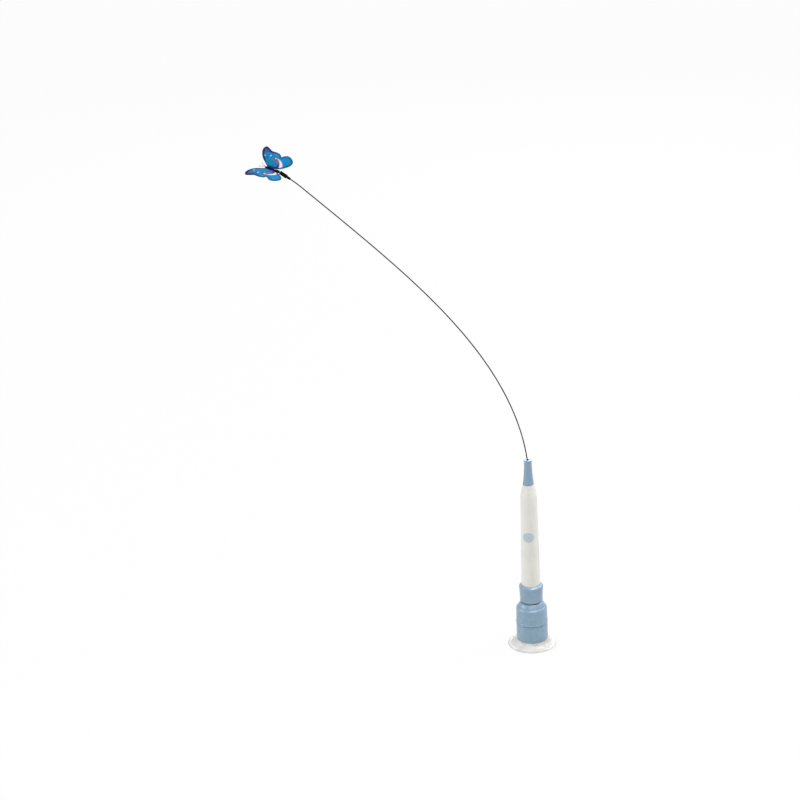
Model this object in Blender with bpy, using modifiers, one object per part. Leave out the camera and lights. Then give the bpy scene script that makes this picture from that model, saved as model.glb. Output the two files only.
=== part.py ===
"""Butterfly cat toy: a spring-wire wand that stands in a twist-lock suction foot.

The origin is the centre of the suction cup's sealing face, +Z is up, and the wire arches
towards -X. Turning the twist drum a quarter turn lifts the stem and pulls the middle of
the cup up, which locks the foot to a smooth floor. The handle lifts out of its socket.
"""

import math

import bmesh
import bpy
from mathutils import Matrix, Vector

MM = 0.001

# Clearance between pieces that touch, and the overrun of every cutter
GAP = 0.3 * MM
OVERRUN = 2.0 * MM

# Suction cup
CUP_RADIUS = 30.0 * MM
CUP_RIM_THICKNESS = 1.3 * MM
CUP_HEIGHT = 8.0 * MM
CUP_DISC_THICKNESS = 3.2 * MM
CUP_UPSTAND_WALL = 4.0 * MM
CUP_GROOVE_DEPTH = 0.6 * MM
CUP_GROOVE_INNER_SHARE = 0.42
CUP_GROOVE_OUTER_SHARE = 0.84
CUP_SKIN = 1.5 * MM
CUP_BOSS_WALL = 2.2 * MM
CUP_SWEEP_STEPS = 5
CUP_SWEEP_POWER_SHARE = 1.15

# Lift stem and its cross pin
STEM_RADIUS = 3.6 * MM
STEM_FOOT_OVERHANG = 1.6 * MM
STEM_FOOT_THICKNESS = 1.6 * MM
STEM_TOP_ABOVE_PIN = 3.2 * MM
STEM_CHAMFER = 0.5 * MM
PIN_RADIUS = 1.0 * MM
PIN_EDGE_BREAK = 0.25 * MM
LIFT_TRAVEL = 2.5 * MM
LIFT_CLEARANCE = 1.8 * MM

# Base ring
RING_FOOT_RADIUS = 19.4 * MM
RING_TAPER = 0.2 * MM
RING_HEIGHT = 21.3 * MM
RING_WALL = 2.0 * MM
RING_WEB_THICKNESS = 2.0 * MM
RING_EDGE_BREAK = 0.45 * MM
GUIDE_WALL = 2.0 * MM
SPIGOT_HEIGHT = 6.0 * MM
SPIGOT_WALL = 2.0 * MM
SNAP_BEAD_REACH = 0.5 * MM
SNAP_BEAD_HEIGHT = 1.6 * MM

# Twist drum
DRUM_HEIGHT = 22.1 * MM
DRUM_DOME_HEIGHT = 5.6 * MM
DRUM_DOME_TOP_RADIUS = 12.8 * MM
DRUM_CREASE = 0.25 * MM
DRUM_DOME_STEPS = 4
DRUM_TAPER = 0.3 * MM
DRUM_WALL = 2.4 * MM
DRUM_SHOULDER = 1.1 * MM
DRUM_RIM_FILLET = 0.7 * MM

# Cam ring
CAM_PLATE_THICKNESS = 2.0 * MM
CAM_LOW_STEP = 0.8 * MM
CAM_RAMP_WIDTH = 5.6 * MM
CAM_PIN_CLEARANCE = 0.5 * MM
TWIST_ANGLE = math.radians(90.0)
CAM_LAND_ANGLE = math.radians(14.0)
CAM_STEPS = 16

# Socket collar and its screw
COLLAR_HEIGHT = 21.0 * MM
COLLAR_LIP_RADIUS = 14.9 * MM
COLLAR_WAIST_RADIUS = 14.3 * MM
COLLAR_FOOT_RADIUS = 13.8 * MM
COLLAR_FLOOR = 3.3 * MM
COLLAR_DRUM_GAP = 2.3 * MM
COLLAR_WAIST_SHARE = 0.55
COLLAR_EDGE_BREAK = 0.6 * MM
COLLAR_LIP_ROUND = 1.3 * MM
COLLAR_LIP_STEPS = 3
NECK_RADIUS = 8.5 * MM
SCREW_RADIUS = 1.5 * MM
SCREW_LENGTH = 6.2 * MM
SCREW_HEAD_RADIUS = 3.2 * MM
SCREW_HEAD_HEIGHT = 1.9 * MM
SCREW_DOME = 0.6 * MM
DRIVER_SLOT_LENGTH = 3.6 * MM
DRIVER_SLOT_WIDTH = 0.8 * MM
DRIVER_SLOT_DEPTH = 0.9 * MM
WASHER_RADIUS = 10.6 * MM
WASHER_THICKNESS = 1.0 * MM

# Handle
HANDLE_LENGTH = 149.0 * MM
HANDLE_FOOT_RADIUS = 11.4 * MM
HANDLE_WALL = 1.8 * MM
SOCKET_CLEARANCE = 0.35 * MM
PLUG_FLANGE = 1.7 * MM
PLUG_SPIGOT = 8.5 * MM
PLUG_EDGE_BREAK = 0.5 * MM
HANDLE_BORE_SHARES = (0.0, 0.4, 0.8, 0.94)
# Outer radius as a share of the foot radius, against height as a share of the length
HANDLE_OUTLINE_SHARES = (
    (0.00, 0.995),
    (0.13, 1.000),
    (0.33, 0.985),
    (0.55, 0.940),
    (0.76, 0.908),
    (0.85, 0.890),
    (0.895, 0.865),
    (0.93, 0.795),
    (0.965, 0.705),
    (1.00, 0.635),
)

# Nose cone
NOSE_LENGTH = 31.7 * MM
NOSE_FOOT_RADIUS = 6.75 * MM
NOSE_WAIST_RADIUS = 4.7 * MM
NOSE_LIP_RADIUS = 5.1 * MM
NOSE_LIP_HEIGHT = 2.2 * MM
NOSE_LIP_ROUND = 0.45 * MM
NOSE_STEPS = 5
NOSE_SPIGOT_RADIUS = 5.0 * MM
NOSE_SPIGOT_LENGTH = 10.5 * MM
NOSE_MOUTH_RADIUS = 1.8 * MM
NOSE_HOLE_RADIUS = 1.3 * MM
NOSE_FLARE_DEPTH = 7.0 * MM
NOSE_CURVE_POWER_SHARE = 1.9

# Spring wire: its angle from the vertical grows along the free length by a power law
WIRE_RADIUS = 0.6 * MM
WIRE_BARE_LENGTH = 459.2 * MM
WIRE_EXIT_ABOVE_NOSE = 1.9 * MM
WIRE_ROOT_LENGTH = 14.0 * MM
WIRE_ROOT_ANGLE = math.radians(6.85)
WIRE_BEND_ANGLE = math.radians(39.8)
WIRE_BEND_POWER_SHARE = 2.68
WIRE_DROOP_LENGTH = 16.0 * MM
WIRE_DROOP_ANGLE = math.radians(6.0)
WIRE_ROOT_STEPS = 3
WIRE_BARE_STEPS = 60
WIRE_HELD_STEPS = 2
WIRE_FINE_STEPS = 12
FERRULE_RADIUS = 2.2 * MM
FERRULE_LENGTH = 27.0 * MM
FERRULE_GRIP = 24.0 * MM
FERRULE_CRIMP_DEPTH = 0.24 * MM
FERRULE_CRIMP_LENGTH = 2.2 * MM
FERRULE_CRIMP_SHARES = (0.7, 0.3)

# Sleeve, barrel, bead and pin at the wire's tip
SLEEVE_LENGTH = 4.8 * MM
SLEEVE_RADIUS = 1.5 * MM
SLEEVE_EDGE_BREAK = 0.3 * MM
BARREL_LENGTH = 9.2 * MM
BARREL_RADIUS = 2.45 * MM
BARREL_GRIP = 4.0 * MM
BARREL_EDGE_BREAK = 0.6 * MM
BARREL_WAIST_DEPTH = 0.2 * MM
BARREL_BAND = 1.2 * MM
SWIVEL_PIN_RADIUS = 0.45 * MM
SWIVEL_HEAD_RADIUS = 1.2 * MM
SWIVEL_HEAD_LENGTH = 1.2 * MM
SWIVEL_GAP = 0.8 * MM
BEAD_LENGTH = 5.2 * MM
BEAD_RADIUS = 1.75 * MM
BEAD_STEPS = 7
BEAD_ROUND_POWER_SHARE = 0.45
PIN_BEND_STEPS = 4

# Butterfly
BODY_LENGTH = 12.5 * MM
BODY_RADIUS = 1.8 * MM
BODY_PIN_GRIP = 3.2 * MM
BODY_TAIL_GAP = 0.3 * MM
HEADING_YAW = math.radians(23.0)
HEADING_PITCH = math.radians(15.0)
HEADING_ROLL = math.radians(21.3)
WING_DIHEDRAL = math.radians(10.0)
WING_REACH = 30.7 * MM
WING_THICKNESS = 0.5 * MM
WING_CAMBER = 2.2 * MM
WING_ROOT_FRONT = 2.4 * MM
WING_ROOT_REAR = 3.8 * MM
WING_FAN_STEPS = 55
WING_RINGS = 5
ARCH_SHARE = 0.55
TWIST_SHARE = 0.5
LIFT_SHARE = 0.35
THORAX_SHARE = 0.562
ANTENNA_LENGTH = 5.8 * MM
ANTENNA_RADIUS = 0.28 * MM
ANTENNA_CLUB_RADIUS = 0.5 * MM
ANTENNA_STEPS = 6
ANTENNA_CLUB_SHARE = 0.7
ANTENNA_ROOT_SHARES = (0.1, 0.08)
ANTENNA_SPREAD_SHARE = 0.58
ANTENNA_RISE_SHARE = 0.22
# Radius of the body as a share of BODY_RADIUS, against distance from the tail
BODY_OUTLINE_SHARES = (
    (0.00, 0.50),
    (0.05, 0.62),
    (0.15, 0.74),
    (0.21, 0.70),
    (0.31, 0.83),
    (0.37, 0.77),
    (0.52, 1.00),
    (0.63, 0.98),
    (0.72, 0.64),
    (0.79, 0.78),
    (0.88, 0.76),
    (0.95, 0.60),
    (0.99, 0.34),
)
# Reach of the wing's edge as a share of WING_REACH, against degrees forward of square
WING_EDGE_SHARES = (
    (80, 0.15),
    (72, 0.21),
    (65, 0.31),
    (60, 0.46),
    (56, 0.58),
    (51, 0.72),
    (46, 0.855),
    (41, 0.95),
    (36, 1.00),
    (32, 0.985),
    (28, 0.895),
    (24, 0.81),
    (20, 0.745),
    (13, 0.72),
    (2, 0.70),
    (-10, 0.665),
    (-19, 0.60),
    (-23, 0.69),
    (-28, 0.785),
    (-34, 0.84),
    (-42, 0.87),
    (-52, 0.88),
    (-59, 0.85),
    (-65, 0.77),
    (-70, 0.66),
    (-75, 0.54),
    (-80, 0.44),
    (-85, 0.34),
)

TURN_STEPS = 40
SMALL_STEPS = 20
WELD = 0.00001
SHARP_ANGLE = math.radians(35.0)

# Heights that follow from the sizes above
RING_BOTTOM = CUP_HEIGHT + GAP
RING_TOP = RING_BOTTOM + RING_HEIGHT
DRUM_BOTTOM = RING_TOP + GAP
DRUM_RIM = DRUM_BOTTOM + DRUM_HEIGHT
DRUM_TOP = DRUM_RIM + DRUM_DOME_HEIGHT
COLLAR_BOTTOM = DRUM_TOP + COLLAR_DRUM_GAP
COLLAR_TOP = COLLAR_BOTTOM + COLLAR_HEIGHT
SOCKET_FLOOR = COLLAR_BOTTOM + COLLAR_FLOOR
HANDLE_BOTTOM = SOCKET_FLOOR + GAP + PLUG_FLANGE + GAP
HANDLE_TOP = HANDLE_BOTTOM + HANDLE_LENGTH
NOSE_BOTTOM = HANDLE_TOP + GAP
NOSE_TOP = NOSE_BOTTOM + NOSE_LENGTH

RING_TOP_RADIUS = RING_FOOT_RADIUS - RING_TAPER
RING_BORE = RING_TOP_RADIUS - RING_WALL
GUIDE_BORE = STEM_RADIUS + GAP
GUIDE_RADIUS = GUIDE_BORE + GUIDE_WALL
DRUM_BORE = RING_TOP_RADIUS - DRUM_WALL
SPIGOT_RADIUS = DRUM_BORE - GAP
WIRE_FREE_LENGTH = WIRE_BARE_LENGTH + SLEEVE_LENGTH + GAP + BARREL_GRIP
CUP_UPSTAND_RADIUS = RING_FOOT_RADIUS + GAP
STEM_FOOT_RADIUS = STEM_RADIUS + STEM_FOOT_OVERHANG
CUP_BOSS_RADIUS = STEM_FOOT_RADIUS + GAP + CUP_BOSS_WALL
RING_WEB = CUP_HEIGHT + LIFT_TRAVEL + LIFT_CLEARANCE
CAM_SHOULDER = RING_TOP + SPIGOT_HEIGHT + CAM_PLATE_THICKNESS + 2 * GAP
CAM_BOTTOM = CAM_SHOULDER - GAP - CAM_PLATE_THICKNESS
CAM_TOP = CAM_BOTTOM + CAM_PLATE_THICKNESS
PIN_HEIGHT = CAM_TOP + CAM_LOW_STEP + CAM_PIN_CLEARANCE + PIN_RADIUS
STEM_TOP = PIN_HEIGHT + STEM_TOP_ABOVE_PIN
STEM_BOTTOM = CUP_SKIN + GAP
CAM_BORE = GUIDE_RADIUS + GAP
PIN_HALF_LENGTH = CAM_BORE + CAM_RAMP_WIDTH
DRUM_CEILING = DRUM_TOP - DRUM_WALL
SOCKET_BORE = HANDLE_FOOT_RADIUS + SOCKET_CLEARANCE
WIRE_BORE = WIRE_RADIUS + GAP
WIRE_EXIT = NOSE_TOP + WIRE_EXIT_ABOVE_NOSE
FERRULE_BORE = FERRULE_RADIUS + GAP


def clear_scene():
    for thing in list(bpy.data.objects):
        bpy.data.objects.remove(thing)


def collection(name):
    group = bpy.data.collections.new(name)
    bpy.context.scene.collection.children.link(group)
    return group


def material(name, colour, roughness, metallic=0.0, alpha=1.0):
    """A Principled finish; colour is linear RGB."""
    made = bpy.data.materials.new(name)
    made.use_nodes = True
    shader = made.node_tree.nodes["Principled BSDF"]
    shader.inputs["Base Color"].default_value = (*colour, 1.0)
    shader.inputs["Roughness"].default_value = roughness
    shader.inputs["Metallic"].default_value = metallic
    shader.inputs["Alpha"].default_value = alpha
    made.diffuse_color = (*colour, alpha)
    return made


def add_object(name, mesh, group, finish=None):
    thing = bpy.data.objects.new(name, mesh)
    group.objects.link(thing)
    if finish:
        mesh.materials.append(finish)
    return thing


def shade_round(thing):
    thing.data.shade_smooth()
    thing.data.set_sharp_from_angle(angle=SHARP_ANGLE)


def turned(name, profile, finish, closed=True, steps=TURN_STEPS):
    """A profile of (radius, height) points turned about Z; it runs down its outer side."""
    mesh = bpy.data.meshes.new(name)
    edges = [(i, i + 1) for i in range(len(profile) - 1)]
    if closed:
        edges.append((len(profile) - 1, 0))
    mesh.from_pydata([(radius, 0, height) for radius, height in profile], edges, [])
    thing = add_object(name, mesh, PARTS, finish)
    screw = thing.modifiers.new("Turn", "SCREW")
    screw.steps = steps
    screw.render_steps = steps
    screw.use_merge_vertices = True
    screw.merge_threshold = WELD
    screw.use_smooth_shade = True
    return thing


def cut(thing, cutter, operation="DIFFERENCE"):
    cutter.hide_render = True
    cutter.display_type = "WIRE"
    modifier = thing.modifiers.new(cutter.name, "BOOLEAN")
    modifier.operation = operation
    modifier.object = cutter
    return modifier


def box_cutter(name, size, centre):
    bpy.ops.mesh.primitive_cube_add(size=1, location=centre)
    cutter = bpy.context.object
    cutter.name = name
    cutter.scale = size
    bpy.ops.object.transform_apply(location=False, rotation=False, scale=True)
    move_to(cutter, CUTTERS)
    return cutter


def rod_cutter(name, radius, length, centre, rotation=(0, 0, 0)):
    bpy.ops.mesh.primitive_cylinder_add(
        vertices=SMALL_STEPS, radius=radius, depth=length, location=centre, rotation=rotation
    )
    cutter = bpy.context.object
    cutter.name = name
    move_to(cutter, CUTTERS)
    return cutter


def move_to(thing, group):
    for other in list(thing.users_collection):
        other.objects.unlink(thing)
    group.objects.link(thing)


def tube(name, points, radius, finish, radii_shares=None):
    """A wire along a poly spline, made a closed mesh with its caps welded."""
    curve = bpy.data.curves.new(name, "CURVE")
    curve.dimensions = "3D"
    curve.bevel_depth = radius
    curve.bevel_resolution = 1
    curve.use_fill_caps = True
    spline = curve.splines.new("POLY")
    spline.points.add(len(points) - 1)
    for index, point in enumerate(points):
        spline.points[index].co = (*point, 1)
        if radii_shares:
            spline.points[index].radius = radii_shares[index]
    drawn = bpy.data.objects.new(name + "_curve", curve)
    PARTS.objects.link(drawn)
    bpy.context.view_layer.update()
    shown = drawn.evaluated_get(bpy.context.evaluated_depsgraph_get())
    mesh = bpy.data.meshes.new_from_object(shown)
    mesh.name = name
    weld_and_face_out(mesh)
    mesh.materials.clear()
    thing = add_object(name, mesh, PARTS, finish)
    thing.matrix_world = drawn.matrix_world.copy()
    bpy.data.objects.remove(drawn)
    shade_round(thing)
    return thing


def weld_and_face_out(mesh):
    shape = bmesh.new()
    shape.from_mesh(mesh)
    bmesh.ops.remove_doubles(shape, verts=shape.verts, dist=WELD)
    bmesh.ops.recalc_face_normals(shape, faces=shape.faces)
    shape.to_mesh(mesh)
    shape.free()


def smooth_through(places, samples):
    """Points on a Catmull-Rom curve through (x, y) places, samples to each span."""
    found = []
    last = len(places) - 1
    for span in range(last):
        before, start, end, after = (
            places[max(span - 1, 0)],
            places[span],
            places[span + 1],
            places[min(span + 2, last)],
        )
        for step in range(samples):
            t = step / samples
            found.append(tuple(catmull(before[k], start[k], end[k], after[k], t) for k in (0, 1)))
    found.append(tuple(places[-1]))
    return found


def catmull(before, start, end, after, t):
    return 0.5 * (
        2 * start
        + (end - before) * t
        + (2 * before - 5 * start + 4 * end - after) * t**2
        + (3 * start - 3 * end + after - before) * t**3
    )


def suction_cup():
    """Soft cup: flat sealing face, upstand under the housing, boss round the stem foot."""
    upstand_bore = CUP_UPSTAND_RADIUS - CUP_UPSTAND_WALL
    pocket = STEM_FOOT_RADIUS + GAP
    pocket_top = STEM_BOTTOM + STEM_FOOT_THICKNESS + GAP
    groove_in = CUP_RADIUS * CUP_GROOVE_INNER_SHARE
    groove_out = CUP_RADIUS * CUP_GROOVE_OUTER_SHARE
    skirt = CUP_RADIUS - CUP_UPSTAND_RADIUS
    rise = CUP_HEIGHT - CUP_RIM_THICKNESS
    quarter = math.pi / 2 / CUP_SWEEP_STEPS
    # The skirt sweeps up in a quarter of a hollow curve from the rim to the upstand
    sweep = [
        (
            CUP_UPSTAND_RADIUS + skirt * (1 - math.sin(step * quarter)),
            CUP_RIM_THICKNESS + rise * (1 - math.cos(step * quarter)) ** CUP_SWEEP_POWER_SHARE,
        )
        for step in range(CUP_SWEEP_STEPS, 0, -1)
    ]
    profile = [
        (0, CUP_SKIN),
        (pocket, CUP_SKIN),
        (pocket, pocket_top),
        (GUIDE_BORE, pocket_top),
        (GUIDE_BORE, CUP_HEIGHT),
        (CUP_BOSS_RADIUS - CUP_GROOVE_DEPTH, CUP_HEIGHT),
        (CUP_BOSS_RADIUS, CUP_HEIGHT - CUP_GROOVE_DEPTH),
        (CUP_BOSS_RADIUS, CUP_DISC_THICKNESS),
        (upstand_bore, CUP_DISC_THICKNESS),
        (upstand_bore, CUP_HEIGHT),
        *sweep,
        (CUP_RADIUS, CUP_RIM_THICKNESS),
        (CUP_RADIUS, 0),
        (groove_out, 0),
        (groove_out - CUP_GROOVE_DEPTH, CUP_GROOVE_DEPTH),
        (groove_in + CUP_GROOVE_DEPTH, CUP_GROOVE_DEPTH),
        (groove_in, 0),
        (0, 0),
    ]
    return turned("suction_cup", profile, SOFT_CLEAR, closed=False)


def lift_stem():
    """Post with its wide foot in the cup, cross-drilled near the top for the pin."""
    foot_top = STEM_BOTTOM + STEM_FOOT_THICKNESS
    profile = [
        (0, STEM_TOP),
        (STEM_RADIUS - STEM_CHAMFER, STEM_TOP),
        (STEM_RADIUS, STEM_TOP - STEM_CHAMFER),
        (STEM_RADIUS, foot_top),
        (STEM_FOOT_RADIUS, foot_top),
        (STEM_FOOT_RADIUS, STEM_BOTTOM),
        (0, STEM_BOTTOM),
    ]
    stem = turned("lift_stem", profile, NATURAL, closed=False, steps=SMALL_STEPS)
    drill = rod_cutter(
        "pin_hole_cutter",
        PIN_RADIUS + GAP,
        2 * (STEM_RADIUS + OVERRUN),
        (0, 0, PIN_HEIGHT),
        (0, math.pi / 2, 0),
    )
    cut(stem, drill)
    return stem


def cross_pin():
    """Steel pin along X, with broken edges, through the stem."""
    half, edge = PIN_HALF_LENGTH, PIN_EDGE_BREAK
    profile = [
        (0, half),
        (PIN_RADIUS - edge, half),
        (PIN_RADIUS, half - edge),
        (PIN_RADIUS, edge - half),
        (PIN_RADIUS - edge, -half),
        (0, -half),
    ]
    pin = turned("cross_pin", profile, STEEL, closed=False, steps=SMALL_STEPS)
    pin.location = (0, 0, PIN_HEIGHT)
    pin.rotation_euler = (0, math.pi / 2, 0)
    return pin


def base_ring():
    """Lower housing: outer wall, web, slotted guide tube and the spigot that the drum snaps on."""
    spigot_bore = SPIGOT_RADIUS - SPIGOT_WALL
    spigot_top = RING_TOP + SPIGOT_HEIGHT
    bead_low = RING_TOP + (SPIGOT_HEIGHT - SNAP_BEAD_HEIGHT) / 2
    bead_high = bead_low + SNAP_BEAD_HEIGHT
    bead_radius = SPIGOT_RADIUS + SNAP_BEAD_REACH
    guide_top = PIN_HEIGHT + LIFT_TRAVEL + PIN_RADIUS + GAP
    web_top = RING_WEB + RING_WEB_THICKNESS
    step_low = RING_TOP - RING_WALL - (RING_BORE - spigot_bore)
    profile = [
        (SPIGOT_RADIUS - RING_EDGE_BREAK, spigot_top),
        (SPIGOT_RADIUS, spigot_top - RING_EDGE_BREAK),
        (SPIGOT_RADIUS, bead_high),
        (bead_radius, bead_high - SNAP_BEAD_REACH),
        (bead_radius, bead_low + SNAP_BEAD_REACH),
        (SPIGOT_RADIUS, bead_low),
        (SPIGOT_RADIUS, RING_TOP),
        (RING_TOP_RADIUS - RING_EDGE_BREAK, RING_TOP),
        (RING_TOP_RADIUS, RING_TOP - RING_EDGE_BREAK),
        (RING_FOOT_RADIUS, RING_BOTTOM + RING_EDGE_BREAK),
        (RING_FOOT_RADIUS - RING_EDGE_BREAK, RING_BOTTOM),
        (RING_BORE, RING_BOTTOM),
        (RING_BORE, RING_WEB),
        (GUIDE_BORE, RING_WEB),
        (GUIDE_BORE, guide_top),
        (GUIDE_RADIUS, guide_top),
        (GUIDE_RADIUS, web_top),
        (RING_BORE, web_top),
        (RING_BORE, step_low),
        (spigot_bore, step_low + RING_BORE - spigot_bore),
        (spigot_bore, spigot_top),
    ]
    ring = turned("base_ring", profile, BLUE)
    slot_low = PIN_HEIGHT - PIN_RADIUS - GAP
    slot_height = guide_top - slot_low + OVERRUN
    slot = box_cutter(
        "guide_slot_cutter",
        (2 * (GUIDE_RADIUS + OVERRUN), 2 * (PIN_RADIUS + GAP), slot_height),
        (0, 0, slot_low + slot_height / 2),
    )
    cut(ring, slot)
    return ring


def twist_drum():
    """Upper drum: skirt with a snap groove, cam shoulder and a domed top with a neck hole."""
    bead_low = RING_TOP + (SPIGOT_HEIGHT - SNAP_BEAD_HEIGHT) / 2
    groove_low = bead_low - GAP
    groove_high = bead_low + SNAP_BEAD_HEIGHT + GAP
    groove_radius = DRUM_BORE + SNAP_BEAD_REACH
    rim_radius = RING_TOP_RADIUS - DRUM_TAPER
    hole = NECK_RADIUS + GAP
    chamber = DRUM_BORE - DRUM_SHOULDER
    dome_radius = rim_radius - DRUM_RIM_FILLET - DRUM_CREASE
    quarter = math.pi / 2 / DRUM_DOME_STEPS
    dome = [
        (
            DRUM_DOME_TOP_RADIUS + (dome_radius - DRUM_DOME_TOP_RADIUS) * math.cos(quarter * step),
            DRUM_RIM + DRUM_DOME_HEIGHT * math.sin(quarter * step),
        )
        for step in range(DRUM_DOME_STEPS, -1, -1)
    ]
    profile = [
        (hole, DRUM_TOP),
        *dome,
        (dome_radius, DRUM_RIM - DRUM_CREASE),
        (rim_radius - DRUM_RIM_FILLET, DRUM_RIM - DRUM_CREASE / 2),
        (rim_radius, DRUM_RIM - DRUM_RIM_FILLET - DRUM_CREASE),
        (RING_TOP_RADIUS, DRUM_BOTTOM + RING_EDGE_BREAK),
        (RING_TOP_RADIUS - RING_EDGE_BREAK, DRUM_BOTTOM),
        (DRUM_BORE, DRUM_BOTTOM),
        (DRUM_BORE, groove_low),
        (groove_radius, groove_low + SNAP_BEAD_REACH),
        (groove_radius, groove_high - SNAP_BEAD_REACH),
        (DRUM_BORE, groove_high),
        (DRUM_BORE, CAM_SHOULDER),
        (chamber, CAM_SHOULDER),
        (chamber, DRUM_RIM - DRUM_WALL),
        (DRUM_DOME_TOP_RADIUS - DRUM_WALL / 2, DRUM_CEILING),
        (hole, DRUM_CEILING),
    ]
    return turned("twist_drum", profile, BLUE)


def ramp_height(angle):
    """Height of a ramp's face above the low land, at an angle in the drum's own frame."""
    return LIFT_TRAVEL * min(max(-angle / TWIST_ANGLE, 0), 1)


def cam_ring():
    """Plate with two helical ramps, which lift the cross pin as the drum turns."""
    plate_radius = DRUM_BORE - GAP
    profile = [
        (CAM_BORE, CAM_TOP),
        (plate_radius, CAM_TOP),
        (plate_radius, CAM_BOTTOM),
        (CAM_BORE, CAM_BOTTOM),
    ]
    ring = turned("cam_ring", profile, NATURAL)
    first = CAM_LAND_ANGLE
    last = -TWIST_ANGLE - CAM_LAND_ANGLE
    for side, turn in (("front", 0), ("rear", math.pi)):
        shape = bmesh.new()
        rows = []
        for step in range(CAM_STEPS + 1):
            angle = first + (last - first) * step / CAM_STEPS
            top = CAM_TOP + CAM_LOW_STEP + ramp_height(angle)
            low = CAM_TOP - CAM_PLATE_THICKNESS / 2
            direction = Vector((math.cos(angle + turn), math.sin(angle + turn), 0))
            inner = direction * (CAM_BORE + GAP)
            outer = direction * (CAM_BORE + CAM_RAMP_WIDTH)
            corners = ((inner, low), (outer, low), (outer, top), (inner, top))
            rows.append([shape.verts.new((p.x, p.y, z)) for p, z in corners])
        for here, there in zip(rows, rows[1:]):
            for k in range(4):
                shape.faces.new((here[k], here[(k + 1) % 4], there[(k + 1) % 4], there[k]))
        shape.faces.new(rows[0])
        shape.faces.new(rows[-1][::-1])
        bmesh.ops.recalc_face_normals(shape, faces=shape.faces)
        mesh = bpy.data.meshes.new(side + "_ramp")
        shape.to_mesh(mesh)
        shape.free()
        ramp = add_object(side + "_ramp", mesh, CUTTERS)
        cut(ring, ramp, "UNION")
    return ring


def socket_collar():
    """Blue cup that the handle stands in, with a neck down through the drum's top."""
    pilot = SCREW_RADIUS + GAP
    neck_bottom = DRUM_CEILING + GAP
    pilot_top = neck_bottom + SCREW_LENGTH
    waist_height = COLLAR_BOTTOM + COLLAR_HEIGHT * COLLAR_WAIST_SHARE
    quarter = math.pi / 2 / COLLAR_LIP_STEPS
    lip = [
        (
            COLLAR_LIP_RADIUS - COLLAR_LIP_ROUND * (1 - math.sin(quarter * step)),
            COLLAR_TOP - COLLAR_LIP_ROUND * (1 - math.cos(quarter * step)),
        )
        for step in range(COLLAR_LIP_STEPS + 1)
    ]
    profile = [
        (0, SOCKET_FLOOR),
        (SOCKET_BORE, SOCKET_FLOOR),
        (SOCKET_BORE, COLLAR_TOP - COLLAR_EDGE_BREAK),
        (SOCKET_BORE + COLLAR_EDGE_BREAK, COLLAR_TOP),
        *lip,
        (COLLAR_WAIST_RADIUS, waist_height),
        (COLLAR_FOOT_RADIUS, COLLAR_BOTTOM + COLLAR_EDGE_BREAK),
        (COLLAR_FOOT_RADIUS - COLLAR_EDGE_BREAK, COLLAR_BOTTOM),
        (NECK_RADIUS, COLLAR_BOTTOM),
        (NECK_RADIUS, neck_bottom),
        (pilot, neck_bottom),
        (pilot, pilot_top),
        (0, pilot_top),
    ]
    return turned("socket_collar", profile, BLUE, closed=False)


def screw_washer():
    """Flat washer under the drum's top, clear of the screw."""
    top = DRUM_CEILING - GAP
    bore = SCREW_RADIUS + GAP
    profile = [
        (bore, top),
        (WASHER_RADIUS, top),
        (WASHER_RADIUS, top - WASHER_THICKNESS),
        (bore, top - WASHER_THICKNESS),
    ]
    return turned("screw_washer", profile, STEEL, steps=SMALL_STEPS)


def socket_screw():
    """Screw with its head under the washer and its shank in the collar's neck."""
    seat = DRUM_CEILING - WASHER_THICKNESS - 2 * GAP
    tip = DRUM_CEILING + SCREW_LENGTH
    under = seat - SCREW_HEAD_HEIGHT
    profile = [
        (0, tip),
        (SCREW_RADIUS / 2, tip),
        (SCREW_RADIUS, tip - SCREW_RADIUS),
        (SCREW_RADIUS, seat),
        (SCREW_HEAD_RADIUS, seat),
        (SCREW_HEAD_RADIUS, under + SCREW_DOME),
        (SCREW_HEAD_RADIUS - SCREW_DOME, under),
        (0, under),
    ]
    screw = turned("socket_screw", profile, STEEL, closed=False, steps=SMALL_STEPS)
    arm, slot = DRIVER_SLOT_LENGTH, DRIVER_SLOT_WIDTH
    for index, size in enumerate(((arm, slot), (slot, arm))):
        cross = box_cutter(
            f"driver_slot_cutter_{index}",
            (size[0], size[1], 2 * DRIVER_SLOT_DEPTH),
            (0, 0, under),
        )
        cut(screw, cross)
    return screw


def handle_radius(share):
    """Outer radius of the white shell at a share of its length, from the smooth outline."""
    outline = smooth_through(HANDLE_OUTLINE_SHARES, 4)
    for (low, first), (high, second) in zip(outline, outline[1:]):
        if low <= share <= high:
            return HANDLE_FOOT_RADIUS * (first + (second - first) * (share - low) / (high - low))
    return HANDLE_FOOT_RADIUS * outline[-1][1]


def handle_shell():
    """White tapering tube with a rounded shoulder, open at both ends."""
    outline = smooth_through(HANDLE_OUTLINE_SHARES, 2)
    outer = [
        (HANDLE_FOOT_RADIUS * radius, HANDLE_BOTTOM + HANDLE_LENGTH * height)
        for height, radius in reversed(outline)
    ]
    mouth = NOSE_SPIGOT_RADIUS + GAP
    shoulder = 1 - (NOSE_SPIGOT_LENGTH - HANDLE_WALL) / HANDLE_LENGTH
    inner = [
        (handle_radius(share) - HANDLE_WALL, HANDLE_BOTTOM + HANDLE_LENGTH * share)
        for share in (part * shoulder for part in HANDLE_BORE_SHARES)
    ]
    inner.append((mouth, HANDLE_BOTTOM + HANDLE_LENGTH * shoulder))
    profile = [(mouth, HANDLE_TOP), *outer, *inner]
    return turned("handle_shell", profile, WHITE)


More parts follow.
